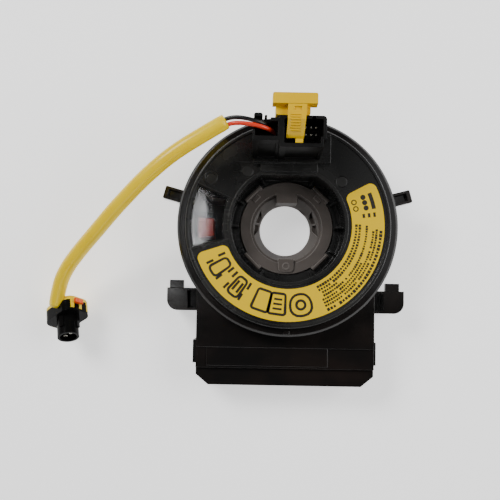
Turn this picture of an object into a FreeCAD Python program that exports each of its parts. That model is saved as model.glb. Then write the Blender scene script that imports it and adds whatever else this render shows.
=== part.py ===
"""Steering clock spring with its airbag lead and shipping lock, in millimetres.

The unit lies on its back at z = 0 and faces up. The column axis is the Z axis, +Y points to
the wheel connector, and +X to the right of a driver who looks at the unit.
"""
import FreeCAD, Part
import math
import os

V = FreeCAD.Vector
ORIGIN = V(0, 0, 0)
AXIS_Z = V(0, 0, 1)

# Running and seating clearances
RUN_GAP = 0.4
SEAT_GAP = 0.3
SNUG_GAP = 0.1

# Stator ring
RING_R = 51.6
RING_WALL = 2.4
RIM_Z = 28.5
RIM_BEVEL = 1.1
RIM_BAND = 3.6
LEDGE_DROP = 1.0
LEDGE_REACH = 1.6
LEDGE_THICK = 1.5
RIM_MARK_HALF_ANGLE = 1.5
RIM_MARK_HEIGHT = 0.7

# Stator back and floor
BACK_SKIRT = 2.6
FLOOR_THICK = 2.0
BACK_WALL = 2.0
RIB_THICK = 1.4
BACK_RIBS = 12

# Connector box under the ring
BOX_HALF_WIDTH = 42.2
BOX_BELOW_RING = 23.6
BOX_CHAMFER_X = 5.9
BOX_CHAMFER_Y = 4.9
BOX_STEP_BELOW_RING = 5.7
BOX_BAND_BELOW_RING = 15.4
BOX_TOP_Z = 20.0
BOX_MID_Z = 19.2
BOX_BAND_Z = 17.5
BOX_WALL = 2.0
PANEL_X0 = -37.0
PANEL_X1 = 20.2
PANEL_FROM_BAND = 1.0
PANEL_RAISE = 0.5
NOTCH_X0 = 16.6
NOTCH_X1 = 29.5
NOTCH_DEPTH = 0.9
RIBBON_SLOT_HALF = 5.0
RIBBON_SLOT_TOP = 17.0
BLOCK_NECK_HALF_ANGLE = 4.8

# Mounting ears, clip tabs and box latches
EAR_REACH = 14.4
EAR_Y0 = -40.3
EAR_Y1 = -29.6
EAR_TOP_Z = 18.0
EAR_WALL = 1.6
EAR_CORNER_R = 5.0
EAR_SLOT_X0 = 0.4
EAR_SLOT_X1 = 4.6
EAR_SLOT_MARGIN = 1.2
EAR_SLOT_FLOOR_Z = 10.5
NUB_LENGTH = 3.9
NUB_WIDTH = 6.9
NUB_Z0 = 4.6
NUB_Z1 = 7.6
TAB_ANGLE = 15.0
TAB_REACH = 8.9
TAB_HALF_WIDTH = 3.05
TAB_Z0 = 19.6
TAB_Z1 = 24.0
TAB_EYE_FROM_RING = 1.0
TAB_EYE_LENGTH = 6.0
TAB_EYE_HALF = 1.8
TAB_EYE_DEPTH = 3.2
LATCH_BELOW_RING = 2.9
LATCH_WIDTH = 10.9
LATCH_THICK = 1.6
LATCH_TOP_Z = 13.6
LATCH_WINDOW_Z0 = 8.6
LATCH_WINDOW_Z1 = 11.8
LATCH_SIDE = 2.2
LATCH_PLAY = 0.3

# Rotor drum, face and opening
DRUM_R = 27.9
DRUM_WALL = 1.5
FACE_TOP_Z = 31.5
FACE_THICK = 2.0
FACE_LIP_WIDTH = 1.4
FACE_LIP_HEIGHT = 0.5
OPENING_LIP_HEIGHT = 0.7
FACE_RIB_FROM_EDGE = 3.2
FACE_RIB_WIDTH = 1.0
FLAT_Y = 24.7
FLAT_WALL = 1.5
WELL_FLOOR_Z = 16.5
WELL_FLOOR_THICK = 2.5
WELL_RIB_TOP_Z = 24.0
WELL_RIB_THICK = 0.9
WELL_RIB_OFFSET = 17.0
EJECTOR_R = 42.0
EJECTOR_ANGLE = 149.5
EJECTOR_MARK_R = 3.1

# Hub that joins the wheel to the rotor
BORE_R = 12.6
BORE_LENGTH = 2.6
BORE_FLAT_ANGLE = 47.0
BORE_FLAT_DEPTH = 0.2
HUB_FLANGE_R = 22.4
HUB_FLANGE_Z = 17.4
HUB_INNER_R = 17.2
HUB_SHELF_Z = 12.4
HUB_CONE_R = 15.9
HUB_BODY_R = 23.8
HUB_BACK_R = 26.2
HUB_BACK_Z = 0.6
HUB_BACK_THICK = 1.7
HUB_FLOOR_SLOPE = 0.6
HOOK_HALF = 5.0
HOOK_THICK = 1.4
HOOK_HEAD = 0.9
HOOK_TOP_Z = 18.8
HOOK_ANGLES = (45.0, 135.0, 225.0, 315.0)
TOP_KEY_HALF = 5.0
TOP_KEY_Y0 = 12.1
LOW_KEY_HALF = 3.6
LOW_KEY_FROM_EDGE = 1.0
LOW_KEY_Y1 = -14.9
LOW_KEY_RAISE = 0.5
HUB_PAD_ANGLE = 136.0
HUB_PAD_FROM_EDGE = 2.0
HUB_POCKET_FLOOR_Z = 5.0
HUB_POCKET_OUTLINE = (
    (12.4, 9.4), (11.8, 6.2), (12.8, 0.6), (15.9, -4.0), (15.1, 2.4), (14.5, 4.2),
)
HUB_WEB_Y0 = 2.3
HUB_WEB_Y1 = 3.2
LOW_KEY_RING_R = 1.7
LOW_KEY_RING_Y = -18.6

# Window, its lens and the arc label
WINDOW_A0 = 158.5
WINDOW_A1 = 192.5
WINDOW_FROM_DRUM = 3.1
WINDOW_FROM_EDGE = 3.2
LENS_LAND = 0.9
LENS_THICK = 1.2
WINDOW_RIB_HALF = 0.45
WINDOW_RIB_HEIGHT = 0.4
LABEL_FROM_DRUM = 1.6
LABEL_FROM_EDGE = 3.1
LABEL_A0 = 198.3
LABEL_A1 = 388.3
LABEL_CORNER_R = 3.0
LABEL_THICK = 0.25

# Ribbon, its carrier and its rollers
RIBBON_THICK = 0.35
RIBBON_SHIFT = 0.45
RIBBON_FROM_DRUM = 0.7
RIBBON_FROM_WALL = 2.6
RIBBON_TO_ROLLER = 0.675
RIBBON_Z0 = 7.0
RIBBON_Z1 = 25.2
ROLLERS = 6
ROLLER_WALL = 1.4
ROLLER_HUB_WALL = 1.2
ROLLER_SPOKE = 1.2
ROLLER_Z1 = 25.2
AXLE_R = 1.6
CARRIER_THICK = 1.2
SHEET_THICK = 0.3
FLAG_A0 = 175.2
FLAG_A1 = 188.3
FLAG_WIDTH = 7.0
FLAG_FROM_PITCH = 0.35
FLAG_Z1 = 25.0
DRUM_SLOT_HALF_ANGLE = 6.0
CLIP_BODY_HALF_ANGLE = 14.0
CLIP_TONGUE_HALF_ANGLE = 5.0

# Wheel connector block and its seat on the face
SEAT_X0 = -16.5
SEAT_X1 = 19.0
SEAT_Y0 = 28.4
SEAT_Z1 = 35.0
STEP_HALF = 13.2
STEP_Z1 = 33.3
BLOCK_TOP_Z = 54.0
BLOCK_X0 = -17.1
BLOCK_X1 = 15.0
BLOCK_SPLIT_X = -5.5
SOCKET_Y0 = 31.6
SOCKET_Y1 = 45.5
LEADBOX_Y0 = 34.4
LEADBOX_Y1 = 44.4
SOCKET_WALL = 1.4
SOCKET_FLOOR_Z = 41.0
LEADBOX_WALL_X0 = 0.9
LEADBOX_WALL_Y0 = 1.9
LEADBOX_WALL_Y1 = 1.5
LEADBOX_FLOOR_Z = 44.5
WIRE_GATE_Y0 = 39.0
WIRE_GATE_X1 = -9.4
WIRE_GATE_Z = 50.4
WIRE_GATE_OVER = 0.6
WHEEL_PIN_PITCH = 2.25
WHEEL_PIN_COLUMNS = 6
WHEEL_PIN_ROWS_Y = (37.9, 41.2)
WHEEL_PIN_WIDTH = 0.64
WHEEL_PIN_TIP_Z = 50.0
WHEEL_PIN_ROOT_Z = 37.0
BLOCK_PANEL_DEPTH = 0.7
SOCKET_BASE_Y0 = 29.9
LEADBOX_BASE_Y0 = 30.1
CORNER_STEP_X = 1.3
CORNER_STEP_Y = 3.5

# Shipping lock
LOCK_BAR_X0 = -8.7
LOCK_BAR_X1 = 10.9
LOCK_BAR_Y1 = 55.0
LOCK_BAR_Z0 = 49.6
LOCK_BAR_Z1 = 56.0
LOCK_BODY_X0 = -7.3
LOCK_BODY_X1 = 7.9
LOCK_BODY_Y1 = 50.4
LOCK_BODY_Z0 = 44.0
LOCK_BODY_Z1 = 53.0
LOCK_LEG_THICK = 1.8
LOCK_LEG_INSET = 2.4
LOCK_STRAP_X0 = -2.6
LOCK_STRAP_X1 = 6.3
LOCK_STRAP_END_X1 = 5.3
LOCK_STRAP_WAIST = 0.5
LOCK_CORNER_R = 1.2
LOCK_STRAP_THICK = 1.5
LOCK_STRAP_END_Y = 36.2
LOCK_STRAP_END_Z = 49.4
LOCK_TAB_X0 = 1.6
LOCK_TAB_X1 = 5.0
LOCK_TAB_REACH = 2.0
LOCK_TAB_DROP = 3.0
LOCK_GRIPS = 7
LOCK_GRIP_PITCH = 1.05

# Rear connectors
REAR_MOUTH_Z = 0.6
REAR_TOP_Z = 13.2
REAR_BASE_THICK = 3.0
REAR_WALL = 1.3
SOCKETS_FROM_LEFT = 11.2
SOCKETS_FROM_RIGHT = 9.2
SOCKETS_FROM_FRONT = 6.8
SOCKETS_APART = 6.0
SOCKET_DEPTH = 13.0
BAG_SOCKET_WIDTH = 14.0
MAIN_PIN_PITCH = 4.2
MAIN_PIN_MARGIN = 2.6
MAIN_PIN_ROW_HALF = 2.2
BAG_PIN_PITCH = 4.0
REAR_PIN_WIDTH = 1.0
REAR_PIN_TIP_Z = 5.2
BOARD_Z0 = 13.4
BOARD_Z1 = 15.0

# Airbag lead
WIRE_D = 1.9
SLEEVE_D = 7.0
SLEEVE_WALL = 0.6
WIRE_SIDE_X = 0.9
WIRE_SIDE_Y = -1.0
ARC_SHARE = 0.45
SLEEVE_ROUTE = (
    (-29.1, 42.8, 51.5), (-41.4, 35.2, 51.8), (-52.9, 27.8, 50.4), (-63.7, 19.0, 47.0),
    (-71.4, 11.9, 43.2), (-79.5, 4.2, 38.8), (-87.4, -4.1, 34.0), (-95.7, -12.3, 28.4),
    (-103.4, -20.9, 23.2), (-108.2, -29.4, 18.6), (-110.5, -39.0, 14.2),
)
RED_ROUTE = (
    (-7.5, 39.4, 44.8), (-8.6, 39.6, 49.6), (-12.8, 40.4, 52.9), (-18.2, 41.5, 53.4),
    (-23.4, 42.1, 52.6),
)
BLACK_ROUTE = (
    (-9.2, 41.2, 44.8), (-10.3, 41.6, 49.6), (-14.4, 42.6, 52.9), (-19.6, 43.9, 53.4),
    (-24.8, 44.7, 52.6),
)

# Airbag plug on the lead
PLUG_CENTRE = V(-106.5, -41.2, 9.4)
PLUG_AIM = V(0.20, -0.84, 0.47)
PLUG_ROLL = 33.0
HEAD_WIDTH = 19.4
HEAD_HEIGHT = 14.6
HEAD_CORNER_R = 5.0
HEAD_FRONT = 5.6
COVER_THICK = 2.2
COVER_EDGE_R = 0.8
TOOTH_COUNT = 3
TOOTH_WIDTH = 1.5
TOOTH_PITCH = 4.4
TOOTH_DEPTH = 1.5
TOOTH_PROUD = 0.25
TOOTH_SHORT = 1.0
BARREL_R = 5.1
BARREL_LENGTH = 9.6
BARREL_WALL = 1.1
BARREL_KEY_WIDTH = 2.2
BARREL_KEY_HEIGHT = 0.8
TERMINAL_R = 0.9
TERMINAL_OFFSET = 1.9
TERMINAL_LENGTH = 6.0
TERMINAL_SUNK = 1.4
CPA_WIDTH = 1.8
CPA_LENGTH = 4.6
CPA_THICK = 1.4
CPA_Y = 2.2
CPA_Z0 = 0.9
CPA_HEAD_WIDTH = 4.4
CPA_HEAD_LENGTH = 1.3
CPA_HEAD_FROM_SIDE = 1.0
CPA_PLAY = 0.1

# Values worked out from the sizes above
BOX_BOTTOM_Y = -(RING_R + BOX_BELOW_RING)
BOX_STEP_Y = -(RING_R + BOX_STEP_BELOW_RING)
BOX_BAND_Y = -(RING_R + BOX_BAND_BELOW_RING)
PANEL_Y0 = BOX_BAND_Y + PANEL_FROM_BAND
LATCH_Y1 = -(RING_R + LATCH_BELOW_RING)
LATCH_Y0 = LATCH_Y1 - LATCH_WIDTH
FLOOR_Z = BACK_SKIRT + FLOOR_THICK
RING_INNER_R = RING_R - RING_WALL
RIBBON_INNER_R = DRUM_R + RIBBON_FROM_DRUM
RIBBON_OUTER_R = RING_INNER_R - RIBBON_FROM_WALL
RIM_INNER_R = RING_R - RIM_BAND
TAB_END_R = RING_R + TAB_REACH
TAB_EYE_R0 = RING_R + TAB_EYE_FROM_RING
TAB_EYE_R1 = TAB_EYE_R0 + TAB_EYE_LENGTH
LEDGE_Z = RIM_Z - LEDGE_DROP
LEDGE_R = RIM_INNER_R - LEDGE_REACH
FACE_R = RIM_INNER_R - RUN_GAP
FACE_RIB_R = FACE_R - FACE_RIB_FROM_EDGE
WINDOW_R0 = DRUM_R + WINDOW_FROM_DRUM
WINDOW_R1 = FACE_R - WINDOW_FROM_EDGE
LABEL_R0 = DRUM_R + LABEL_FROM_DRUM
LABEL_R1 = FACE_R - LABEL_FROM_EDGE
FACE_UNDER_Z = FACE_TOP_Z - FACE_THICK
DRUM_INNER_R = DRUM_R - DRUM_WALL
DRUM_Z0 = FLOOR_Z + RUN_GAP
FLOOR_HOLE_R = HUB_BODY_R + RUN_GAP + 0.2
RECESS_R = HUB_BACK_R + RUN_GAP + 0.4
SHOULDER_Z = WELL_FLOOR_Z - WELL_FLOOR_THICK
LOW_KEY_Y0 = LOW_KEY_FROM_EDGE - HUB_FLANGE_R
HUB_PAD_R = HUB_FLANGE_R - HUB_PAD_FROM_EDGE
CARRIER_Z0 = FLOOR_Z + SHEET_THICK + SEAT_GAP
CARRIER_Z1 = CARRIER_Z0 + CARRIER_THICK
TURN_INNER_R = RIBBON_INNER_R + 2 * RIBBON_SHIFT
TURN_R = (RIBBON_OUTER_R - TURN_INNER_R) / 2
PITCH_R = (RIBBON_OUTER_R + TURN_INNER_R) / 2
ROLLER_R = TURN_R - RIBBON_THICK / 2 - RIBBON_TO_ROLLER
FLAG_R0 = PITCH_R + FLAG_FROM_PITCH - FLAG_WIDTH / 2
FLAG_R1 = FLAG_R0 + FLAG_WIDTH
CARRIER_R0 = TURN_INNER_R + 1.2
CARRIER_R1 = RIBBON_OUTER_R - 1.2
UPPER_SHEET_Z0 = RIBBON_Z1 + 0.9
SOCKET_MID_X = (BLOCK_SPLIT_X + 0.6 + BLOCK_X1) / 2
SLEEVE_INNER_D = SLEEVE_D - 2 * SLEEVE_WALL
MAIN_SOCKET_X0 = SOCKETS_FROM_LEFT - BOX_HALF_WIDTH
BAG_SOCKET_X1 = BOX_HALF_WIDTH - SOCKETS_FROM_RIGHT
BAG_SOCKET_X0 = BAG_SOCKET_X1 - BAG_SOCKET_WIDTH
MAIN_SOCKET_X1 = BAG_SOCKET_X0 - SOCKETS_APART
MAIN_SOCKET_Y0 = BOX_BOTTOM_Y + SOCKETS_FROM_FRONT
MAIN_SOCKET_Y1 = MAIN_SOCKET_Y0 + SOCKET_DEPTH
MAIN_PIN_ROOM = MAIN_SOCKET_X1 - MAIN_SOCKET_X0 - 2 * (REAR_WALL + MAIN_PIN_MARGIN)
MAIN_PIN_COLUMNS = 1 + int(MAIN_PIN_ROOM / MAIN_PIN_PITCH)


def polar(radius, degrees):
    """Return X and Y of a point on a circle about the column axis."""
    angle = math.radians(degrees)
    return radius * math.cos(angle), radius * math.sin(angle)


def disc(radius, z0, z1, x=0.0, y=0.0):
    """Make an upright cylinder between two heights."""
    return Part.makeCylinder(radius, z1 - z0, V(x, y, z0))


def tube(r_out, r_in, z0, z1):
    """Make an upright ring between two heights."""
    return disc(r_out, z0, z1).cut(disc(r_in, z0, z1))


def block(x0, x1, y0, y1, z0, z1):
    """Make a box from its limits."""
    return Part.makeBox(x1 - x0, y1 - y0, z1 - z0, V(x0, y0, z0))


def prism(points, z0, z1):
    """Extrude a closed outline of X, Y points between two heights."""
    loop = [V(x, y, z0) for x, y in points]
    wire = Part.makePolygon(loop + loop[:1])
    return Part.Face(wire).extrude(V(0, 0, z1 - z0))


def side_prism(points, x0, x1):
    """Extrude a closed outline of Y, Z points between two X places."""
    loop = [V(x0, y, z) for y, z in points]
    wire = Part.makePolygon(loop + loop[:1])
    return Part.Face(wire).extrude(V(x1 - x0, 0, 0))


def revolved(profile):
    """Turn a closed outline of radius, z points about the column axis."""
    loop = [V(r, 0, z) for r, z in profile]
    wire = Part.makePolygon(loop + loop[:1])
    return Part.Face(wire).revolve(ORIGIN, AXIS_Z, 360)


def arc_edge(centre, radius, a0, a1, z):
    """Make one arc edge about a centre between two angles."""
    places = []
    for angle in (a0, (a0 + a1) / 2, a1):
        x, y = polar(radius, angle)
        places.append(V(centre[0] + x, centre[1] + y, z))
    return Part.Arc(*places).toShape()


def sector(r_in, r_out, a0, a1, z0, z1, centre=(0.0, 0.0)):
    """Make a piece of a ring between two angles, about any centre."""
    outer = arc_edge(centre, r_out, a0, a1, z0)
    inner = arc_edge(centre, r_in, a1, a0, z0)
    start = outer.Vertexes[0].Point
    end = outer.Vertexes[-1].Point
    inner_start = inner.Vertexes[0].Point
    inner_end = inner.Vertexes[-1].Point
    sides = [Part.LineSegment(end, inner_start).toShape(), Part.LineSegment(inner_end, start).toShape()]
    wire = Part.Wire([outer, sides[0], inner, sides[1]])
    return Part.Face(wire).extrude(V(0, 0, z1 - z0))


def turned(shape, degrees):
    """Return a copy turned about the column axis."""
    copy = shape.copy()
    copy.rotate(ORIGIN, AXIS_Z, degrees)
    return copy


def mirrored(shape):
    """Return a copy on the other side of the YZ plane."""
    return shape.mirror(ORIGIN, V(1, 0, 0))


def joined(shapes):
    """Fuse a list of shapes and merge faces that lie in one plane."""
    whole = shapes[0].fuse(shapes[1:]) if len(shapes) > 1 else shapes[0]
    return whole.removeSplitter()


def upright_edges(shape, x_test, y_test):
    """List the edges along Z whose X and Y pass two tests."""
    found = []
    for edge in shape.Edges:
        if len(edge.Vertexes) != 2:
            continue
        first, last = edge.Vertexes[0].Point, edge.Vertexes[1].Point
        along = abs(first.x - last.x) < 1e-6 and abs(first.y - last.y) < 1e-6
        if along and x_test(first.x) and y_test(first.y):
            found.append(edge)
    return found


def box_outline(inset=0.0):
    """Outline the connector box, with its two cut corners."""
    half = BOX_HALF_WIDTH - inset
    bottom = BOX_BOTTOM_Y + inset
    cut = inset * 0.4
    return [
        (-half, EAR_Y1), (half, EAR_Y1), (half, BOX_BOTTOM_Y + BOX_CHAMFER_Y + cut),
        (BOX_HALF_WIDTH - BOX_CHAMFER_X - cut, bottom), (-BOX_HALF_WIDTH + BOX_CHAMFER_X + cut, bottom),
        (-half, BOX_BOTTOM_Y + BOX_CHAMFER_Y + cut),
    ]


def box_body(inset, drop, z0):
    """Make the stepped box, or its inside when an inset and a drop are given."""
    tall = prism(box_outline(inset), z0, BOX_TOP_Z - drop)
    width = BOX_HALF_WIDTH + 1
    mid = block(-width, width, BOX_BOTTOM_Y - 1, BOX_STEP_Y + inset, BOX_MID_Z - drop, BOX_TOP_Z + 1)
    low = block(-width, width, BOX_BOTTOM_Y - 1, BOX_BAND_Y + inset, BOX_BAND_Z - drop, BOX_TOP_Z + 1)
    return tall.cut([mid, low])


def ear():
    """Make the right mounting ear: a hollow bracket with a groove and a locating nub."""
    x0 = BOX_HALF_WIDTH - 0.5
    x1 = BOX_HALF_WIDTH + EAR_REACH
    body = block(x0, x1, EAR_Y0, EAR_Y1, FLOOR_Z, EAR_TOP_Z)
    corner = upright_edges(body, lambda x: x > x1 - 0.1, lambda y: y < EAR_Y0 + 0.1)
    body = body.makeFillet(EAR_CORNER_R, corner)
    inside = block(BOX_HALF_WIDTH + EAR_SLOT_X1 + EAR_WALL, x1 - EAR_WALL, EAR_Y0 + EAR_WALL,
                   EAR_Y1 - EAR_WALL, FLOOR_Z, EAR_TOP_Z - EAR_WALL)
    inner_corner = upright_edges(inside, lambda x: x > x1 - EAR_WALL - 0.1, lambda y: y < EAR_Y0 + EAR_WALL + 0.1)
    inside = inside.makeFillet(EAR_CORNER_R - EAR_WALL, inner_corner)
    slot = block(BOX_HALF_WIDTH + EAR_SLOT_X0, BOX_HALF_WIDTH + EAR_SLOT_X1, EAR_Y0 + EAR_SLOT_MARGIN,
                 EAR_Y1 - EAR_SLOT_MARGIN, EAR_SLOT_FLOOR_Z, EAR_TOP_Z + 1)
    nub = block(x1 - NUB_WIDTH, x1, EAR_Y1 - 0.5, EAR_Y1 + NUB_LENGTH, NUB_Z0, NUB_Z1)
    return body.cut([inside, slot]).fuse(nub)


def clip_tab():
    """Make one clip tab on the ring at 0 degrees."""
    tab = block(RING_R - 1.2, TAB_END_R, -TAB_HALF_WIDTH, TAB_HALF_WIDTH, TAB_Z0, TAB_Z1)
    outer = upright_edges(tab, lambda x: x > TAB_END_R - 0.1, lambda y: True)
    tab = tab.makeFillet(0.6, outer)
    eye = block(TAB_EYE_R0, TAB_EYE_R1, -TAB_EYE_HALF, TAB_EYE_HALF, TAB_Z1 - TAB_EYE_DEPTH, TAB_Z1 + 1)
    root = prism([(RING_R - 1.2, -TAB_HALF_WIDTH), (RING_R - 1.2, TAB_HALF_WIDTH),
                  (RING_R + 2.0, TAB_HALF_WIDTH), (RING_R + 2.0, -TAB_HALF_WIDTH)], TAB_Z0 - 6, TAB_Z0)
    return tab.cut(eye).fuse(root)


def latch_catch():
    """Make the wedge on the right box side that holds a latch of the back cover."""
    gap = LATCH_PLAY
    rise = LATCH_THICK + 0.2
    points = [(BOX_HALF_WIDTH - 0.5, LATCH_WINDOW_Z0 + gap), (BOX_HALF_WIDTH + rise, LATCH_WINDOW_Z0 + gap + 0.6),
              (BOX_HALF_WIDTH + rise, LATCH_WINDOW_Z0 + gap + 1.2), (BOX_HALF_WIDTH - 0.5, LATCH_WINDOW_Z1 - gap)]
    loop = [V(x, LATCH_Y0 + LATCH_SIDE + gap, z) for x, z in points]
    face = Part.Face(Part.makePolygon(loop + loop[:1]))
    return face.extrude(V(0, LATCH_Y1 - LATCH_Y0 - 2 * (LATCH_SIDE + gap), 0))


def stator_case():
    """Make the fixed housing: ring wall with its rim, connector box, ears and tabs."""
    ring = revolved([
        (RING_INNER_R, FLOOR_Z), (RING_R, FLOOR_Z), (RING_R, RIM_Z - RIM_BEVEL),
        (RING_R - RIM_BEVEL, RIM_Z), (RIM_INNER_R, RIM_Z), (RIM_INNER_R, LEDGE_Z), (LEDGE_R, LEDGE_Z),
        (LEDGE_R, LEDGE_Z - LEDGE_THICK), (RING_INNER_R, LEDGE_Z - LEDGE_THICK),
    ])
    outside = disc(RING_R - 0.6, 0, RIM_Z)
    hollow = box_body(BOX_WALL, BOX_WALL, FLOOR_Z).cut(disc(RING_R, 0, RIM_Z))
    box = box_body(0.0, 0.0, FLOOR_Z).cut([outside, hollow])
    panel = block(PANEL_X0, PANEL_X1, PANEL_Y0, BOX_STEP_Y, BOX_MID_Z - 0.5, BOX_MID_Z + PANEL_RAISE)
    notch = block(NOTCH_X0, NOTCH_X1, BOX_BOTTOM_Y - 1, BOX_BOTTOM_Y + NOTCH_DEPTH, FLOOR_Z - 1, BOX_BAND_Z - 4)
    mark = sector(RIM_INNER_R + 0.9, RING_R - RIM_BEVEL - 0.2, 270 - RIM_MARK_HALF_ANGLE,
                  270 + RIM_MARK_HALF_ANGLE, RIM_Z - 0.3, RIM_Z + RIM_MARK_HEIGHT)
    right_ear = ear().cut(outside)
    catch = latch_catch()
    parts = [ring, box, panel, mark, right_ear, mirrored(right_ear), catch, mirrored(catch)]
    parts.append(turned(clip_tab(), TAB_ANGLE))
    parts.append(turned(clip_tab(), 180 - TAB_ANGLE))
    whole = joined(parts)
    slot = block(-RIBBON_SLOT_HALF, RIBBON_SLOT_HALF, -RING_R - 1, -RING_INNER_R + 2, RIBBON_Z0, RIBBON_SLOT_TOP)
    return whole.cut([slot, notch])


def rear_outline(inset, z0, z1):
    """Make the plan of the whole back as one prism, smaller by an inset."""
    return joined([disc(RING_R - inset, z0, z1), prism(box_outline(inset), z0, z1)])


def rear_cover():
    """Make the back cover: ribbed floor, hub recess, skirt, socket windows and side latches."""
    floor = rear_outline(0.0, BACK_SKIRT, FLOOR_Z)
    skirt = rear_outline(0.0, 0, BACK_SKIRT).cut(rear_outline(BACK_WALL, 0, BACK_SKIRT))
    boss = tube(RECESS_R + BACK_WALL, RECESS_R, 0, BACK_SKIRT)
    ribs = []
    for number in range(BACK_RIBS):
        rib = block(RECESS_R + 1, RING_R - 1, -RIB_THICK / 2, RIB_THICK / 2, 0.4, BACK_SKIRT)
        ribs.append(turned(rib, 15 + number * 360 / BACK_RIBS))
    latch = block(BOX_HALF_WIDTH + LATCH_PLAY, BOX_HALF_WIDTH + LATCH_PLAY + LATCH_THICK, LATCH_Y0, LATCH_Y1,
                  0.0, LATCH_TOP_Z)
    latch_root = block(BOX_HALF_WIDTH - 1, BOX_HALF_WIDTH + LATCH_PLAY + 0.2, LATCH_Y0, LATCH_Y1, 0.0, FLOOR_Z)
    window = block(BOX_HALF_WIDTH, BOX_HALF_WIDTH + 4, LATCH_Y0 + LATCH_SIDE, LATCH_Y1 - LATCH_SIDE,
                   LATCH_WINDOW_Z0, LATCH_WINDOW_Z1)
    arm = latch.fuse(latch_root).cut(window)
    whole = joined([floor, skirt, boss, arm, mirrored(arm)] + ribs)
    hole = disc(FLOOR_HOLE_R, -1, FLOOR_Z + 1)
    fit = SEAT_GAP / 2
    main_window = block(MAIN_SOCKET_X0 - fit, MAIN_SOCKET_X1 + fit, MAIN_SOCKET_Y0 - fit, MAIN_SOCKET_Y1 + fit,
                        -1, FLOOR_Z + 1)
    bag_window = block(BAG_SOCKET_X0 - fit, BAG_SOCKET_X1 + fit, MAIN_SOCKET_Y0 - fit, MAIN_SOCKET_Y1 + fit,
                       -1, FLOOR_Z + 1)
    return whole.cut([hole, main_window, bag_window])


def rear_socket(x0, x1):
    """Make one socket that opens to the back, with a stop flange above the cover's floor."""
    shell = block(x0, x1, MAIN_SOCKET_Y0, MAIN_SOCKET_Y1, REAR_MOUTH_Z, REAR_TOP_Z)
    flange = block(x0 - 1, x1 + 1, MAIN_SOCKET_Y0 - 1, MAIN_SOCKET_Y1 + 1, FLOOR_Z, FLOOR_Z + 1.5)
    cavity = block(x0 + REAR_WALL, x1 - REAR_WALL, MAIN_SOCKET_Y0 + REAR_WALL, MAIN_SOCKET_Y1 - REAR_WALL,
                   REAR_MOUTH_Z - 1, REAR_TOP_Z - REAR_BASE_THICK)
    corners = upright_edges(cavity, lambda x: True, lambda y: True)
    return shell.fuse(flange).removeSplitter().cut(cavity.makeFillet(0.8, corners))


def rear_pin_places(kind):
    """List the X, Y places of the main or the airbag pins."""
    mid_y = (MAIN_SOCKET_Y0 + MAIN_SOCKET_Y1) / 2
    if kind == "main":
        mid_x = (MAIN_SOCKET_X0 + MAIN_SOCKET_X1) / 2
        places = []
        for number in range(MAIN_PIN_COLUMNS):
            x = mid_x + (number - (MAIN_PIN_COLUMNS - 1) / 2) * MAIN_PIN_PITCH
            places += [(x, mid_y - MAIN_PIN_ROW_HALF), (x, mid_y + MAIN_PIN_ROW_HALF)]
        return places
    mid_x = (BAG_SOCKET_X0 + BAG_SOCKET_X1) / 2
    corners = [(side, row) for side in (-1, 1) for row in (-1, 1)]
    return [(mid_x + side * BAG_PIN_PITCH / 2, mid_y + row * MAIN_PIN_ROW_HALF) for side, row in corners]


def square_pins(places, width, z0, z1):
    """Make a group of square pins with pointed ends."""
    half = width / 2
    pins = []
    for x, y in places:
        pins.append(block(x - half, x + half, y - half, y + half, z0, z1))
    return pins


def terminal_board():
    """Make the board that carries the tracks from the ribbon to the rear pins."""
    board = block(MAIN_SOCKET_X0 - 2, BAG_SOCKET_X1 + 2, MAIN_SOCKET_Y0, MAIN_SOCKET_Y1 + 2.6, BOARD_Z0, BOARD_Z1)
    rails = [
        block(MAIN_SOCKET_X0, MAIN_SOCKET_X0 + 2, MAIN_SOCKET_Y0 + 1, MAIN_SOCKET_Y1, REAR_TOP_Z, BOARD_Z0),
        block(BAG_SOCKET_X1 - 2, BAG_SOCKET_X1, MAIN_SOCKET_Y0 + 1, MAIN_SOCKET_Y1, REAR_TOP_Z, BOARD_Z0),
    ]
    return joined([board] + rails)


def outer_ribbon_block():
    """Make the block that clamps the outer end of the ribbon in the ring wall."""
    half = RIBBON_SLOT_HALF - SEAT_GAP
    top = RIBBON_SLOT_TOP - SEAT_GAP
    neck_r = RIBBON_OUTER_R + 4 * RIBBON_SHIFT + RIBBON_THICK / 2 + SNUG_GAP
    neck = sector(neck_r, RING_R + 0.7, 270 - BLOCK_NECK_HALF_ANGLE, 270 + BLOCK_NECK_HALF_ANGLE, RIBBON_Z0, top)
    head = block(-half - 2.5, half + 2.5, MAIN_SOCKET_Y1 + 1.4, -RING_R - 0.4, FLOOR_Z + 0.4, BOARD_Z0)
    return joined([neck, head.cut(disc(RING_R, 0, RIM_Z))])


def rotor_ring_profile():
    """Outline the section of the drum and face, as radius and z."""
    lip_r = FACE_R - FACE_LIP_WIDTH
    return [
        (DRUM_INNER_R, DRUM_Z0), (DRUM_R, DRUM_Z0), (DRUM_R, FACE_UNDER_Z), (FACE_RIB_R, FACE_UNDER_Z),
        (FACE_RIB_R, UPPER_SHEET_Z0 + SHEET_THICK), (FACE_RIB_R + FACE_RIB_WIDTH, UPPER_SHEET_Z0 + SHEET_THICK),
        (FACE_RIB_R + FACE_RIB_WIDTH, FACE_UNDER_Z), (lip_r, FACE_UNDER_Z - 0.3),
        (lip_r, LEDGE_Z + RUN_GAP), (FACE_R, LEDGE_Z + RUN_GAP), (FACE_R, FACE_TOP_Z + FACE_LIP_HEIGHT - 0.4),
        (FACE_R - 0.4, FACE_TOP_Z + FACE_LIP_HEIGHT), (lip_r, FACE_TOP_Z + FACE_LIP_HEIGHT), (lip_r - 0.3, FACE_TOP_Z),
        (DRUM_R, FACE_TOP_Z), (DRUM_R, FACE_TOP_Z + OPENING_LIP_HEIGHT),
        (DRUM_INNER_R, FACE_TOP_Z + OPENING_LIP_HEIGHT),
    ]


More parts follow.
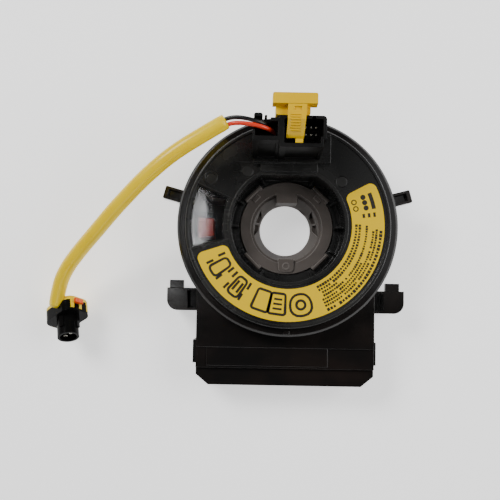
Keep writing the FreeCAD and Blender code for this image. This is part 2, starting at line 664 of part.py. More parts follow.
def opening_flat():
    """Make the flat wall that cuts the top of the opening, with its lip."""
    inner = disc(DRUM_INNER_R + 0.2, WELL_FLOOR_Z - 1, FACE_TOP_Z)
    far = block(-DRUM_R, DRUM_R, FLAT_Y - FLAT_WALL, DRUM_R, WELL_FLOOR_Z - 1, FACE_TOP_Z)
    fill = inner.common(far)
    lip = disc(DRUM_R, FACE_TOP_Z - 0.5, FACE_TOP_Z + OPENING_LIP_HEIGHT)
    lip = lip.common(block(-DRUM_R, DRUM_R, FLAT_Y - FLAT_WALL, FLAT_Y, FACE_TOP_Z - 0.5,
                           FACE_TOP_Z + OPENING_LIP_HEIGHT))
    return fill, lip


def well_floor():
    """Make the floor of the well, with gaps for the hub's hooks, and its stiffening ribs."""
    floor = tube(DRUM_INNER_R + 0.2, HUB_FLANGE_R + SEAT_GAP, SHOULDER_Z, WELL_FLOOR_Z)
    gaps = []
    ribs = []
    for angle in HOOK_ANGLES:
        r_arm = HUB_FLANGE_R + 0.8 + SEAT_GAP
        gap = block(HUB_FLANGE_R - 3, r_arm, -HOOK_HALF - SEAT_GAP, HOOK_HALF + SEAT_GAP, SHOULDER_Z - 1,
                    WELL_FLOOR_Z + 1)
        gaps.append(turned(gap, angle))
        for side in (-1, 1):
            rib = block(HUB_FLANGE_R + 1.0, DRUM_INNER_R + 0.2, -WELL_RIB_THICK / 2, WELL_RIB_THICK / 2,
                        WELL_FLOOR_Z - 1, WELL_RIB_TOP_Z - 3)
            ribs.append(turned(rib, angle + side * WELL_RIB_OFFSET))
    for angle in (0.0, 180.0):
        rib = block(HUB_FLANGE_R + 0.6, DRUM_INNER_R + 0.2, -WELL_RIB_THICK / 2, WELL_RIB_THICK / 2,
                    WELL_FLOOR_Z - 1, WELL_RIB_TOP_Z)
        ribs.append(turned(rib, angle))
    return floor.cut(gaps), ribs


def window_cut():
    """Make the tools that cut the window and the step that its lens sits in."""
    through = sector(WINDOW_R0, WINDOW_R1, WINDOW_A0, WINDOW_A1, FACE_UNDER_Z - 2, FACE_TOP_Z + 2)
    wider = math.degrees(LENS_LAND / WINDOW_R0)
    step = sector(WINDOW_R0 - LENS_LAND, WINDOW_R1 + LENS_LAND, WINDOW_A0 - wider, WINDOW_A1 + wider,
                  FACE_TOP_Z - LENS_THICK, FACE_TOP_Z + 2)
    return through, step


def rotor_face():
    """Make the turning face with its drum, well, window and the seat of the connector block."""
    ring = revolved(rotor_ring_profile())
    fill, lip = opening_flat()
    floor, ribs = well_floor()
    rim = disc(FACE_R - FACE_LIP_WIDTH, FACE_TOP_Z - 0.5, SEAT_Z1)
    seat = block(SEAT_X0, SEAT_X1, SEAT_Y0, FACE_R, FACE_TOP_Z - 0.5, SEAT_Z1).common(rim)
    step = block(-STEP_HALF, STEP_HALF, FLAT_Y - 0.1, SEAT_Y0 + 0.1, FACE_TOP_Z - 0.5, STEP_Z1)
    x, y = polar(EJECTOR_R, EJECTOR_ANGLE)
    mark = disc(EJECTOR_MARK_R, FACE_TOP_Z - 0.5, FACE_TOP_Z + 0.2, x, y)
    mark = mark.cut(disc(EJECTOR_MARK_R - 0.5, FACE_TOP_Z, FACE_TOP_Z + 1, x, y))
    frames = []
    for angle in (WINDOW_A0 - 2.4, WINDOW_A1 + 2.4):
        rib = block(DRUM_R - 0.3, FACE_R - 1, -WINDOW_RIB_HALF, WINDOW_RIB_HALF, FACE_TOP_Z - 0.5,
                    FACE_TOP_Z + WINDOW_RIB_HEIGHT)
        frames.append(turned(rib, angle))
    whole = joined([ring, fill, lip, floor, seat, step, mark] + ribs + frames)
    slot = sector(DRUM_INNER_R - 1, DRUM_R + 1, 90 - DRUM_SLOT_HALF_ANGLE, 90 + DRUM_SLOT_HALF_ANGLE, RIBBON_Z0,
                  SHOULDER_Z - 1)
    return whole.cut(list(window_cut()) + [slot])


def window_lens():
    """Make the clear lens that closes the window."""
    gap = SEAT_GAP / 2
    wider = math.degrees((LENS_LAND - gap) / WINDOW_R0)
    plate = sector(WINDOW_R0 - LENS_LAND + gap, WINDOW_R1 + LENS_LAND - gap, WINDOW_A0 - wider, WINDOW_A1 + wider,
                   FACE_TOP_Z - LENS_THICK, FACE_TOP_Z + 0.1)
    return plate


def arc_label():
    """Make the sticker, an arc with round corners."""
    label = sector(LABEL_R0, LABEL_R1, LABEL_A0, LABEL_A1, FACE_TOP_Z, FACE_TOP_Z + LABEL_THICK)
    corners = upright_edges(label, lambda x: True, lambda y: True)
    return label.makeFillet(LABEL_CORNER_R, corners)


def hub_pocket(side):
    """Make one narrow pocket of the hub's cone, cut in two by a thin web."""
    cut = prism([(side * x, y) for x, y in HUB_POCKET_OUTLINE], HUB_POCKET_FLOOR_Z, HUB_SHELF_Z + 3)
    web = block(-HUB_INNER_R, HUB_INNER_R, HUB_WEB_Y0, HUB_WEB_Y1, HUB_POCKET_FLOOR_Z, HUB_SHELF_Z + 3)
    return cut.cut(web)


def hub_sleeve():
    """Make the grey hub with its bore, cone, keys, hooks and back flange."""
    body = revolved([
        (BORE_R, HUB_BACK_Z), (HUB_BACK_R, HUB_BACK_Z), (HUB_BACK_R, HUB_BACK_Z + HUB_BACK_THICK),
        (HUB_BODY_R, HUB_BACK_Z + HUB_BACK_THICK), (HUB_BODY_R, SHOULDER_Z), (HUB_FLANGE_R, SHOULDER_Z),
        (HUB_FLANGE_R, HUB_FLANGE_Z - 0.4), (HUB_FLANGE_R - 0.4, HUB_FLANGE_Z),
        (HUB_INNER_R, HUB_FLANGE_Z - HUB_FLOOR_SLOPE), (HUB_INNER_R, HUB_SHELF_Z + 0.4),
        (HUB_CONE_R, HUB_SHELF_Z), (BORE_R, HUB_BACK_Z + BORE_LENGTH),
    ])
    bore_flat = disc(BORE_R + 0.1, HUB_BACK_Z, HUB_BACK_Z + BORE_LENGTH)
    keep = block(BORE_R - BORE_FLAT_DEPTH, BORE_R + 1, -BORE_R, BORE_R, HUB_BACK_Z, HUB_BACK_Z + BORE_LENGTH)
    bore_flat = bore_flat.common(turned(keep, BORE_FLAT_ANGLE))
    top_key = block(-TOP_KEY_HALF, TOP_KEY_HALF, TOP_KEY_Y0, HUB_INNER_R + 0.6, HUB_SHELF_Z - 5,
                    HUB_FLANGE_Z - HUB_FLOOR_SLOPE)
    low_key = block(-LOW_KEY_HALF, LOW_KEY_HALF, LOW_KEY_Y0, LOW_KEY_Y1, HUB_SHELF_Z - 4,
                    HUB_FLANGE_Z + LOW_KEY_RAISE)
    low_corners = upright_edges(low_key, lambda x: True, lambda y: y < LOW_KEY_Y0 + 0.1)
    low_key = low_key.makeFillet(LOW_KEY_HALF * 0.6, low_corners)
    hooks = []
    for angle in HOOK_ANGLES:
        arm = block(HUB_FLANGE_R - 0.6, HUB_FLANGE_R + HOOK_THICK - 0.6, -HOOK_HALF, HOOK_HALF, SHOULDER_Z,
                    HUB_FLANGE_Z)
        head = block(HUB_FLANGE_R, HUB_FLANGE_R + HOOK_THICK - 0.6 + HOOK_HEAD, -HOOK_HALF, HOOK_HALF,
                     WELL_FLOOR_Z + 0.1, HOOK_TOP_Z)
        bevel = [e for e in head.Edges if min(v.X for v in e.Vertexes) > HUB_FLANGE_R + 0.5
                 and min(v.Z for v in e.Vertexes) > HOOK_TOP_Z - 0.1]
        head = head.makeChamfer(HOOK_HEAD * 0.8, bevel)
        hooks.append(turned(arm.fuse(head), angle))
    pads = []
    for angle in (HUB_PAD_ANGLE, 180 - HUB_PAD_ANGLE):
        pad = block(HUB_PAD_R - 0.9, HUB_PAD_R + 0.9, -1.8, 1.8, HUB_FLANGE_Z - 1, HUB_FLANGE_Z + 0.4)
        pads.append(turned(pad, angle))
    ring = tube(LOW_KEY_RING_R, LOW_KEY_RING_R - 0.5, HUB_FLANGE_Z, HUB_FLANGE_Z + LOW_KEY_RAISE + 0.2)
    ring.translate(V(0, LOW_KEY_RING_Y, 0))
    whole = joined([body, bore_flat, top_key, low_key, ring] + hooks + pads)
    pockets = [hub_pocket(1), hub_pocket(-1)]
    return whole.cut(pockets)


def ribbon_strip(centre_y, radius, a0, a1):
    """Make one half turn of the ribbon about a centre on the Y axis."""
    half = RIBBON_THICK / 2
    return sector(radius - half, radius + half, a0, a1, RIBBON_Z0, RIBBON_Z1, (0.0, centre_y))


def ribbon():
    """Make the flat ribbon: inner winding, one turn back round a roller, and outer winding."""
    shift = RIBBON_SHIFT
    start = RIBBON_INNER_R
    out = RIBBON_OUTER_R
    strips = [
        ribbon_strip(0.0, start, 90, 270), ribbon_strip(shift, start + shift, -90, 90),
        ribbon_strip(0.0, TURN_INNER_R, 90, 270), ribbon_strip(-PITCH_R, TURN_R, -90, 90),
        ribbon_strip(shift, out + shift, 90, 270), ribbon_strip(0.0, out + 2 * shift, -90, 90),
        ribbon_strip(shift, out + 3 * shift, 90, 270), ribbon_strip(0.0, out + 4 * shift, -90, 90),
    ]
    return strips[0].fuse(strips[1:]).removeSplitter()


def roller_places():
    """List the X, Y places of the roller axles."""
    return [polar(PITCH_R, 270 + number * 360 / ROLLERS) for number in range(ROLLERS)]


def roller_carrier():
    """Make the ring that carries the roller axles and the index flag."""
    plate = tube(CARRIER_R1, CARRIER_R0, CARRIER_Z0, CARRIER_Z1)
    axles = []
    for x, y in roller_places():
        axles.append(disc(AXLE_R, CARRIER_Z1 - 0.5, ROLLER_Z1 - 0.6, x, y))
        axles.append(disc(AXLE_R + 1.4, CARRIER_Z1 - 0.5, CARRIER_Z1 + 0.3, x, y))
    return joined([plate] + axles)


def index_flag():
    """Make the red block that shows in the window when the rotor is centred."""
    return sector(FLAG_R0, FLAG_R1, FLAG_A0, FLAG_A1, CARRIER_Z1, FLAG_Z1)


def roller(x, y):
    """Make one hollow roller: rim, hub and three spokes."""
    z0 = CARRIER_Z1 + 0.3 + SEAT_GAP
    bore = AXLE_R + SEAT_GAP / 2
    rim = disc(ROLLER_R, z0, ROLLER_Z1).cut(disc(ROLLER_R - ROLLER_WALL, z0, ROLLER_Z1))
    spokes = []
    for number in range(3):
        spoke = block(bore + 0.3, ROLLER_R - 0.5, -ROLLER_SPOKE / 2, ROLLER_SPOKE / 2, z0, ROLLER_Z1 - 1.0)
        spokes.append(turned(spoke, number * 120))
    core = disc(bore + ROLLER_HUB_WALL, z0, ROLLER_Z1)
    whole = joined([rim, core] + spokes).cut(disc(bore, z0 - 1, ROLLER_Z1 + 1))
    whole.translate(V(x, y, 0))
    return whole


def lower_slip_sheet():
    """Make the low-friction film on the floor of the ring."""
    return tube(RING_INNER_R - 0.4, DRUM_R + 0.5, FLOOR_Z, FLOOR_Z + SHEET_THICK)


def upper_slip_sheet():
    """Make the low-friction film under the face, open below the window."""
    sheet = tube(FACE_RIB_R + FACE_RIB_WIDTH + 0.4, DRUM_R + SNUG_GAP, UPPER_SHEET_Z0,
                 UPPER_SHEET_Z0 + SHEET_THICK)
    return sheet.cut(sector(WINDOW_R0 - 1, FACE_RIB_R - 0.2, WINDOW_A0 - 2, WINDOW_A1 + 2, 0, RIM_Z))


def inner_ribbon_clip():
    """Make the clip that holds the inner end of the ribbon in the drum wall."""
    body = sector(HUB_BODY_R + RUN_GAP, DRUM_INNER_R - SNUG_GAP, 90 - CLIP_BODY_HALF_ANGLE,
                  90 + CLIP_BODY_HALF_ANGLE, RIBBON_Z0, SHOULDER_Z - 1.2)
    tip_r = RIBBON_INNER_R - RIBBON_THICK / 2 - SNUG_GAP
    tongue = sector(DRUM_INNER_R - 0.5, tip_r, 90 - CLIP_TONGUE_HALF_ANGLE, 90 + CLIP_TONGUE_HALF_ANGLE,
                    RIBBON_Z0 + 0.3, SHOULDER_Z - 1.3)
    return joined([body, tongue])


def wheel_pin_places():
    """List the X, Y places of the pins in the wheel socket."""
    places = []
    for number in range(WHEEL_PIN_COLUMNS):
        x = SOCKET_MID_X + (number - (WHEEL_PIN_COLUMNS - 1) / 2) * WHEEL_PIN_PITCH
        places += [(x, y) for y in WHEEL_PIN_ROWS_Y]
    return places


def leaning_block(x0, x1, top_y, base_y, back_y):
    """Make one half of the connector block, whose front leans out towards its base."""
    return side_prism([(base_y, SEAT_Z1), (back_y, SEAT_Z1), (back_y, BLOCK_TOP_Z), (top_y, BLOCK_TOP_Z)], x0, x1)


def front_panel(x0, x1, top_y, base_y, below_top):
    """Make the tool that sinks a shallow panel into a leaning front."""
    slope = (top_y - base_y) / (BLOCK_TOP_Z - SEAT_Z1)
    z0 = SEAT_Z1 + 1.0
    z1 = BLOCK_TOP_Z - below_top
    low_y = base_y + slope * (z0 - SEAT_Z1)
    high_y = base_y + slope * (z1 - SEAT_Z1)
    return side_prism([(low_y - 1, z0), (low_y + BLOCK_PANEL_DEPTH, z0), (high_y + BLOCK_PANEL_DEPTH, z1),
                       (high_y - 1, z1)], x0, x1)


def wheel_connector(pins):
    """Make the block that holds the wheel socket and the outlet of the airbag lead."""
    socket = leaning_block(BLOCK_SPLIT_X, BLOCK_X1, SOCKET_Y0, SOCKET_BASE_Y0, SOCKET_Y1)
    corners = upright_edges(socket, lambda x: x > BLOCK_X1 - 0.1, lambda y: y > SOCKET_Y1 - 0.1)
    socket = socket.makeFillet(1.6, corners)
    step = block(BLOCK_X1 - CORNER_STEP_X, BLOCK_X1 + 1, SOCKET_BASE_Y0 - 1, SOCKET_Y0 + CORNER_STEP_Y,
                 SEAT_Z1 - 1, BLOCK_TOP_Z + 1)
    socket = socket.cut(step)
    lead_box = leaning_block(BLOCK_X0, BLOCK_SPLIT_X + 0.5, LEADBOX_Y0, LEADBOX_BASE_Y0, LEADBOX_Y1)
    lug = block(BLOCK_X0 + 0.4, BLOCK_X0 + 4.2, LEADBOX_Y1 - 0.5, LEADBOX_Y1 + 2.0, BLOCK_TOP_Z - 5, BLOCK_TOP_Z)
    lug_corners = upright_edges(lug, lambda x: True, lambda y: y > LEADBOX_Y1 + 1.9)
    lug = lug.makeFillet(1.0, lug_corners)
    post = disc(0.6, BLOCK_TOP_Z - 5, BLOCK_TOP_Z + 0.2, BLOCK_X0 + 5.6, LEADBOX_Y1 + 0.4)
    whole = joined([socket, lead_box, lug, post])
    cavity = block(BLOCK_SPLIT_X + 2.0, BLOCK_X1 - SOCKET_WALL, SOCKET_Y0 + SOCKET_WALL + 0.3,
                   SOCKET_Y1 - SOCKET_WALL, SOCKET_FLOOR_Z, BLOCK_TOP_Z + 1)
    cavity = cavity.makeFillet(0.8, upright_edges(cavity, lambda x: True, lambda y: True))
    wall = SOCKET_WALL - 0.2
    cavity = cavity.cut(block(BLOCK_X1 - CORNER_STEP_X - wall, BLOCK_X1, SOCKET_Y0,
                              SOCKET_Y0 + CORNER_STEP_Y + wall, SOCKET_FLOOR_Z - 1, BLOCK_TOP_Z + 2))
    pocket = block(BLOCK_X0 + LEADBOX_WALL_X0, BLOCK_SPLIT_X - 0.7, LEADBOX_Y0 + LEADBOX_WALL_Y0,
                   LEADBOX_Y1 - LEADBOX_WALL_Y1, LEADBOX_FLOOR_Z, BLOCK_TOP_Z + 1)
    exit_gate = block(BLOCK_X0 - 1, BLOCK_X0 + 2, WIRE_GATE_Y0, LEADBOX_Y1 + WIRE_GATE_OVER, WIRE_GATE_Z,
                      BLOCK_TOP_Z + 1)
    back_gate = block(BLOCK_X0, WIRE_GATE_X1, LEADBOX_Y1 - LEADBOX_WALL_Y1 - 0.5, LEADBOX_Y1 + WIRE_GATE_OVER,
                      WIRE_GATE_Z, BLOCK_TOP_Z + 1)
    left_panel = front_panel(BLOCK_X0 + 2.2, BLOCK_SPLIT_X - 1.4, LEADBOX_Y0, LEADBOX_BASE_Y0, 3.0)
    right_panel = front_panel(BLOCK_SPLIT_X + 3.0, BLOCK_X1 - 2.6, SOCKET_Y0, SOCKET_BASE_Y0, 5.0)
    key_slot = block(SOCKET_MID_X + 3.4, SOCKET_MID_X + 5.4, SOCKET_Y1 - SOCKET_WALL - 0.3, SOCKET_Y1 - 0.5,
                     SOCKET_FLOOR_Z + 3, BLOCK_TOP_Z + 1)
    return whole.cut([cavity, pocket, exit_gate, back_gate, left_panel, right_panel, key_slot] + pins)


def lock_key():
    """Make the yellow shipping lock: handle bar, body, leg and the strap over the socket."""
    y0 = SOCKET_Y1 + SEAT_GAP
    bar = block(LOCK_BAR_X0, LOCK_BAR_X1, LOCK_BODY_Y1 - 0.2, LOCK_BAR_Y1, LOCK_BAR_Z0, LOCK_BAR_Z1)
    ends = upright_edges(bar, lambda x: True, lambda y: y > LOCK_BAR_Y1 - 0.1)
    bar = bar.makeFillet(0.8, ends)
    body = block(LOCK_BODY_X0, LOCK_BODY_X1, y0, LOCK_BODY_Y1, LOCK_BODY_Z0, LOCK_BODY_Z1)
    body = body.makeFillet(LOCK_CORNER_R, upright_edges(body, lambda x: True, lambda y: y < y0 + 0.1))
    leg = block(LOCK_BODY_X0 + LOCK_LEG_INSET, LOCK_BODY_X1 - LOCK_LEG_INSET, LOCK_BODY_Y1 - LOCK_LEG_THICK,
                LOCK_BODY_Y1, RIM_Z + RIM_MARK_HEIGHT + SEAT_GAP, LOCK_BODY_Z0 + 1)
    thick = LOCK_STRAP_THICK
    over = BLOCK_TOP_Z + SEAT_GAP
    bend_y = SOCKET_Y1 - SOCKET_WALL - 0.6
    strap = side_prism([
        (LOCK_BODY_Y1, LOCK_BODY_Z1 - 1), (LOCK_BODY_Y1, over + thick), (bend_y, over + thick),
        (LOCK_STRAP_END_Y, LOCK_STRAP_END_Z + thick), (LOCK_STRAP_END_Y, LOCK_STRAP_END_Z),
        (bend_y, over), (y0, over), (y0, LOCK_BODY_Z1 - 1),
    ], LOCK_STRAP_X0, LOCK_STRAP_X1)
    plan = prism([
        (LOCK_STRAP_X0 + LOCK_STRAP_WAIST, LOCK_BODY_Y1 + 1), (LOCK_STRAP_X0 + LOCK_STRAP_WAIST, bend_y),
        (LOCK_STRAP_X0, LOCK_STRAP_END_Y - 1), (LOCK_STRAP_END_X1, LOCK_STRAP_END_Y - 1),
        (LOCK_STRAP_X1 - LOCK_STRAP_WAIST, bend_y), (LOCK_STRAP_X1, LOCK_BODY_Y1 + 1),
    ], LOCK_BODY_Z0, LOCK_BAR_Z1 + 1)
    strap = strap.common(plan)
    tab = block(LOCK_TAB_X0, LOCK_TAB_X1, LOCK_STRAP_END_Y - LOCK_TAB_REACH, LOCK_STRAP_END_Y + 0.5,
                LOCK_STRAP_END_Z - LOCK_TAB_DROP, LOCK_STRAP_END_Z + thick - 0.2)
    grips = []
    slope = (over - LOCK_STRAP_END_Z) / (bend_y - LOCK_STRAP_END_Y)
    for number in range(LOCK_GRIPS):
        y = bend_y + 2.0 - number * LOCK_GRIP_PITCH
        z = over + thick - max(0.0, bend_y - y) * slope
        grips.append(block(LOCK_STRAP_X0 + 1.8, LOCK_STRAP_X1 - 2.8, y - 0.25, y + 0.25, z - 0.6, z + 0.35))
    dimple = block(LOCK_STRAP_X0 + 3.4, LOCK_STRAP_X1 - 2.4, LOCK_BODY_Y1 - 3.2, LOCK_BODY_Y1 - 1.4,
                   over + thick - 0.6, LOCK_BAR_Z1 + 1)
    return joined([bar, body, leg, strap, tab] + grips).cut(dimple)


def rounded_path(points, label):
    """Join straight runs with tangent arcs, each as large as its runs allow."""
    places = [V(*point) for point in points]
    edges = []
    radii = []
    at = places[0]
    for before, here, after in zip(places, places[1:], places[2:]):
        back = (before - here).normalize()
        ahead = (after - here).normalize()
        half_turn = (math.pi - back.getAngle(ahead)) / 2
        run = min((before - here).Length, (after - here).Length)
        setback = ARC_SHARE * run
        radius = setback / math.tan(half_turn)
        first = here + back * setback
        last = here + ahead * setback
        toward = (back + ahead).normalize()
        middle = here + toward * (radius / math.cos(half_turn) - radius)
        edges.append(Part.LineSegment(at, first).toShape())
        edges.append(Part.Arc(first, middle, last).toShape())
        radii.append(radius)
        at = last
    edges.append(Part.LineSegment(at, places[-1]).toShape())
    wire = Part.Wire(edges)
    print(f"{label}: length {wire.Length:.1f}, arc radii " + " ".join(f"{r:.0f}" for r in radii))
    return wire


def swept_round(wire, diameter):
    """Sweep a round section along a path."""
    start = wire.Edges[0].valueAt(wire.Edges[0].FirstParameter)
    end = wire.Edges[0].valueAt(wire.Edges[0].LastParameter)
    circle = Part.makeCircle(diameter / 2, start, end - start)
    solid = wire.makePipeShell([Part.Wire(circle)], True, False)
    expected = math.pi * diameter * diameter / 4 * wire.Length
    print(f"  volume over section times length: {solid.Volume / expected:.4f}")
    return solid


def wire_route(exposed, side):
    """Give a wire's whole route: its open stretch, then along the inside of the sleeve."""
    inside = [(x + side * WIRE_SIDE_X, y + side * WIRE_SIDE_Y, z) for x, y, z in SLEEVE_ROUTE]
    return list(exposed) + inside


def plug_frame():
    """Give the placement of the plug: local X across, Y up its head, Z along its barrel."""
    aim = V(PLUG_AIM).normalize()
    level = AXIS_Z.cross(aim).normalize()
    roll = math.radians(PLUG_ROLL)
    across = level * math.cos(roll) + aim.cross(level) * math.sin(roll)
    up = aim.cross(across)
    matrix = FreeCAD.Matrix(across.x, up.x, aim.x, PLUG_CENTRE.x, across.y, up.y, aim.y, PLUG_CENTRE.y,
                            across.z, up.z, aim.z, PLUG_CENTRE.z, 0, 0, 0, 1)
    return FreeCAD.Placement(matrix)


def head_plate(width, height, z0, z1, corner):
    """Make a plate with round corners, centred on the plug's own axis."""
    plate = block(-width / 2, width / 2, -height / 2, height / 2, z0, z1)
    return plate.makeFillet(corner, upright_edges(plate, lambda x: True, lambda y: True))


def tooth_tools():
    """Make the bars that are cut from the plug body and filled by the cover's teeth."""
    bars = []
    for side in (-1, 1):
        for number in range(TOOTH_COUNT):
            y = (number - (TOOTH_COUNT - 1) / 2) * TOOTH_PITCH
            x0 = HEAD_WIDTH / 2 - TOOTH_DEPTH
            bar = block(x0, HEAD_WIDTH / 2 + 1, y - TOOTH_WIDTH / 2, y + TOOTH_WIDTH / 2, -0.2,
                        HEAD_FRONT - TOOTH_SHORT)
            bars.append(bar if side > 0 else mirrored(bar))
    return bars


def plug_pieces():
    """Make the four fixed pieces and the lock of the airbag plug, in the plug's own axes."""
    teeth = tooth_tools()
    head = head_plate(HEAD_WIDTH, HEAD_HEIGHT, 0, HEAD_FRONT, HEAD_CORNER_R)
    barrel = disc(BARREL_R, HEAD_FRONT - 0.5, HEAD_FRONT + BARREL_LENGTH)
    keys = []
    for angle in (70.0, 200.0, 340.0):
        key = block(BARREL_R - 0.5, BARREL_R + BARREL_KEY_HEIGHT, -BARREL_KEY_WIDTH / 2, BARREL_KEY_WIDTH / 2,
                    HEAD_FRONT - 0.5, HEAD_FRONT + BARREL_LENGTH * 0.62)
        keys.append(turned(key, angle))
    body = joined([head, barrel] + keys)
    mouth = disc(BARREL_R - BARREL_WALL, HEAD_FRONT + BARREL_LENGTH - TERMINAL_LENGTH,
                 HEAD_FRONT + BARREL_LENGTH + 1)
    side = HEAD_WIDTH / 2
    half = CPA_WIDTH / 2
    play = CPA_PLAY
    cpa_slot = block(side - CPA_LENGTH, side + 2, CPA_Y - half, CPA_Y + half, CPA_Z0, CPA_Z0 + CPA_THICK)
    stem = block(side - CPA_LENGTH + play, side + CPA_HEAD_FROM_SIDE + CPA_HEAD_LENGTH, CPA_Y - half + play,
                 CPA_Y + half - play, CPA_Z0 + play, CPA_Z0 + CPA_THICK - play)
    tee = block(side + CPA_HEAD_FROM_SIDE, side + CPA_HEAD_FROM_SIDE + CPA_HEAD_LENGTH, CPA_Y - CPA_HEAD_WIDTH / 2,
                CPA_Y + CPA_HEAD_WIDTH / 2, CPA_Z0 - 0.4, CPA_Z0 + CPA_THICK + 0.4)
    cpa = joined([stem, tee])
    terminals = []
    z0 = HEAD_FRONT + BARREL_LENGTH - TERMINAL_LENGTH
    for x in (-TERMINAL_OFFSET, TERMINAL_OFFSET):
        socket = disc(TERMINAL_R, z0, z0 + TERMINAL_LENGTH - TERMINAL_SUNK, x)
        terminals.append(socket.cut(disc(TERMINAL_R - 0.35, z0 + 1.0, z0 + TERMINAL_LENGTH, x)))
    body = body.cut([mouth, cpa_slot] + teeth)
    rear = head_plate(HEAD_WIDTH, HEAD_HEIGHT, -COVER_THICK, 0, HEAD_CORNER_R)
    edge = [e for e in rear.Edges if max(v.Z for v in e.Vertexes) < -COVER_THICK + 0.01]
    rear = rear.makeFillet(COVER_EDGE_R, edge)
    around = head_plate(HEAD_WIDTH + 2 * TOOTH_PROUD, HEAD_HEIGHT + 2 * TOOTH_PROUD, -0.2, HEAD_FRONT,
                        HEAD_CORNER_R + TOOTH_PROUD)
    cover_teeth = [bar.common(around) for bar in teeth]
    cover = joined([rear] + cover_teeth)
    return body, cover, terminals, cpa


def write(name, shapes):
    """Write one node, from one solid or a list of separate solids."""
    shape = shapes if not isinstance(shapes, list) else Part.makeCompound(shapes)
    shape.exportStep(os.path.join("parts", name + ".step"))
    state = "ok" if shape.isValid() else "INVALID"
    print(f"{name}: {state}, solids {len(shape.Solids)}, volume {shape.Volume:.0f}")


def main():
    """Make every piece and write it."""
    os.makedirs("parts", exist_ok=True)
    write("stator_case", stator_case())
    write("rear_cover", rear_cover())
    main_pins = square_pins(rear_pin_places("main"), REAR_PIN_WIDTH, REAR_PIN_TIP_Z, BOARD_Z1)
    bag_pins = square_pins(rear_pin_places("bag"), REAR_PIN_WIDTH, REAR_PIN_TIP_Z, BOARD_Z1)
    write("column_socket", rear_socket(MAIN_SOCKET_X0, MAIN_SOCKET_X1).cut(main_pins))
    write("column_pins", main_pins)
    write("airbag_socket", rear_socket(BAG_SOCKET_X0, BAG_SOCKET_X1).cut(bag_pins))
    write("airbag_pins", bag_pins)
    write("terminal_board", terminal_board().cut(main_pins + bag_pins))
    write("outer_ribbon_block", outer_ribbon_block())
    write("lower_slip_sheet", lower_slip_sheet())
    write("rotor_face", rotor_face())
    write("hub_sleeve", hub_sleeve())
    write("window_lens", window_lens())
    write("arc_label", arc_label())
    write("inner_ribbon_clip", inner_ribbon_clip())
    write("upper_slip_sheet", upper_slip_sheet())
    write("ribbon", ribbon())
    write("roller_carrier", roller_carrier())
    write("index_flag", index_flag())
    for number, (x, y) in enumerate(roller_places(), start=1):
        write(f"roller_{number}", roller(x, y))
    wheel_pins = square_pins(wheel_pin_places(), WHEEL_PIN_WIDTH, WHEEL_PIN_ROOT_Z, WHEEL_PIN_TIP_Z)
    write("wheel_connector", wheel_connector(wheel_pins))
    write("wheel_pins", wheel_pins)
    write("lock_key", lock_key())

    sleeve_wire = rounded_path(SLEEVE_ROUTE, "lead_sleeve")
    sleeve = swept_round(sleeve_wire, SLEEVE_D).cut(swept_round(sleeve_wire, SLEEVE_INNER_D))
    red = swept_round(rounded_path(wire_route(RED_ROUTE, 1), "red_wire"), WIRE_D)
    black = swept_round(rounded_path(wire_route(BLACK_ROUTE, -1), "black_wire"), WIRE_D)
    write("lead_sleeve", sleeve)
    write("red_wire", red)
    write("black_wire", black)

    frame = plug_frame()
    body, cover, terminals, cpa = plug_pieces()
    placed = []
    for piece in (body, cover, cpa):
        copy = piece.copy()
        copy.Placement = frame.multiply(copy.Placement)
        placed.append(copy)
    placed_terminals = []
    for piece in terminals:
        copy = piece.copy()
        copy.Placement = frame.multiply(copy.Placement)
        placed_terminals.append(copy)
    bore = swept_round(sleeve_wire, SLEEVE_D)
    write("plug_body", placed[0].cut([bore, red, black]))
    write("plug_cover", placed[1].cut([bore, red, black]))
    write("plug_terminals", placed_terminals)
    write("plug_lock", placed[2])


main()
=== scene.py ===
"""Looks of a steering clock spring: its finishes, printed label, airbag lead and studio.

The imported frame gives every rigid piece. This script dresses each one, lays the lead in its
route, prints the label, and sets the floor, the lights and the camera.
"""

import logging
import math
from dataclasses import dataclass
from enum import Enum
from functools import cache
from typing import Any, Sequence

import bmesh
import bpy
from mathutils import Matrix, Vector


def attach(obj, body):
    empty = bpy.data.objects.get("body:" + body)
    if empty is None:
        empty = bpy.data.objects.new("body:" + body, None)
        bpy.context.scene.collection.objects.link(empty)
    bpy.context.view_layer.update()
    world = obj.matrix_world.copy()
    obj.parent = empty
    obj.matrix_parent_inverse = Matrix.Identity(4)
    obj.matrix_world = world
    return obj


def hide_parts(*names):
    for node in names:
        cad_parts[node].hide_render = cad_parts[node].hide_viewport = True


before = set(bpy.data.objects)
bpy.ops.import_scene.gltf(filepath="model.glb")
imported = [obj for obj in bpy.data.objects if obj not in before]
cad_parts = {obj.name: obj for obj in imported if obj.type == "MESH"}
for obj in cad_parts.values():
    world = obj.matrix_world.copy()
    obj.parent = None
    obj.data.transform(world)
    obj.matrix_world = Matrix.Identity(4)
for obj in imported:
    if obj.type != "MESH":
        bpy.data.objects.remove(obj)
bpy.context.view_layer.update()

FLOOR_SIZE = 6.0
SMOOTH_ANGLE = math.radians(32.0)
WELD_DISTANCE = 0.000002

# Painted edge highlights, found where the rounded normal leaves the plain one. The limits are cosines.
BEVEL_SAMPLES = 6
EDGE_LIMITS = (0.99, 0.88)
EDGE_HIGHLIGHT_SHARE = 0.65

# The mark of an ejector pin: its radius and half its line's width in metres, then how much of the
# second colour and of roughness it brings, and its depth beside the grain's.
EJECTOR_RADIUS = 0.0025
EJECTOR_LINE = 0.0003
EJECTOR_TONE = 0.7
EJECTOR_ROUGH = 0.15
EJECTOR_RELIEF = 12.0

# The depth of a scratch beside the grain's.
SCRATCH_RELIEF = 0.15

# The label's upper face, the thickness of its ink and the width of a printed line, in metres.
FILM_TOP = 0.03175
INK = 0.00004
LINE = 0.00115

# The least radius inside a frame's corner, as a share of the corner's own, and the steps of curves.
SMALLEST_BEND = 0.2
CORNER_STEPS = 4
BAND_STEPS = 8
DISC_STEPS = 24

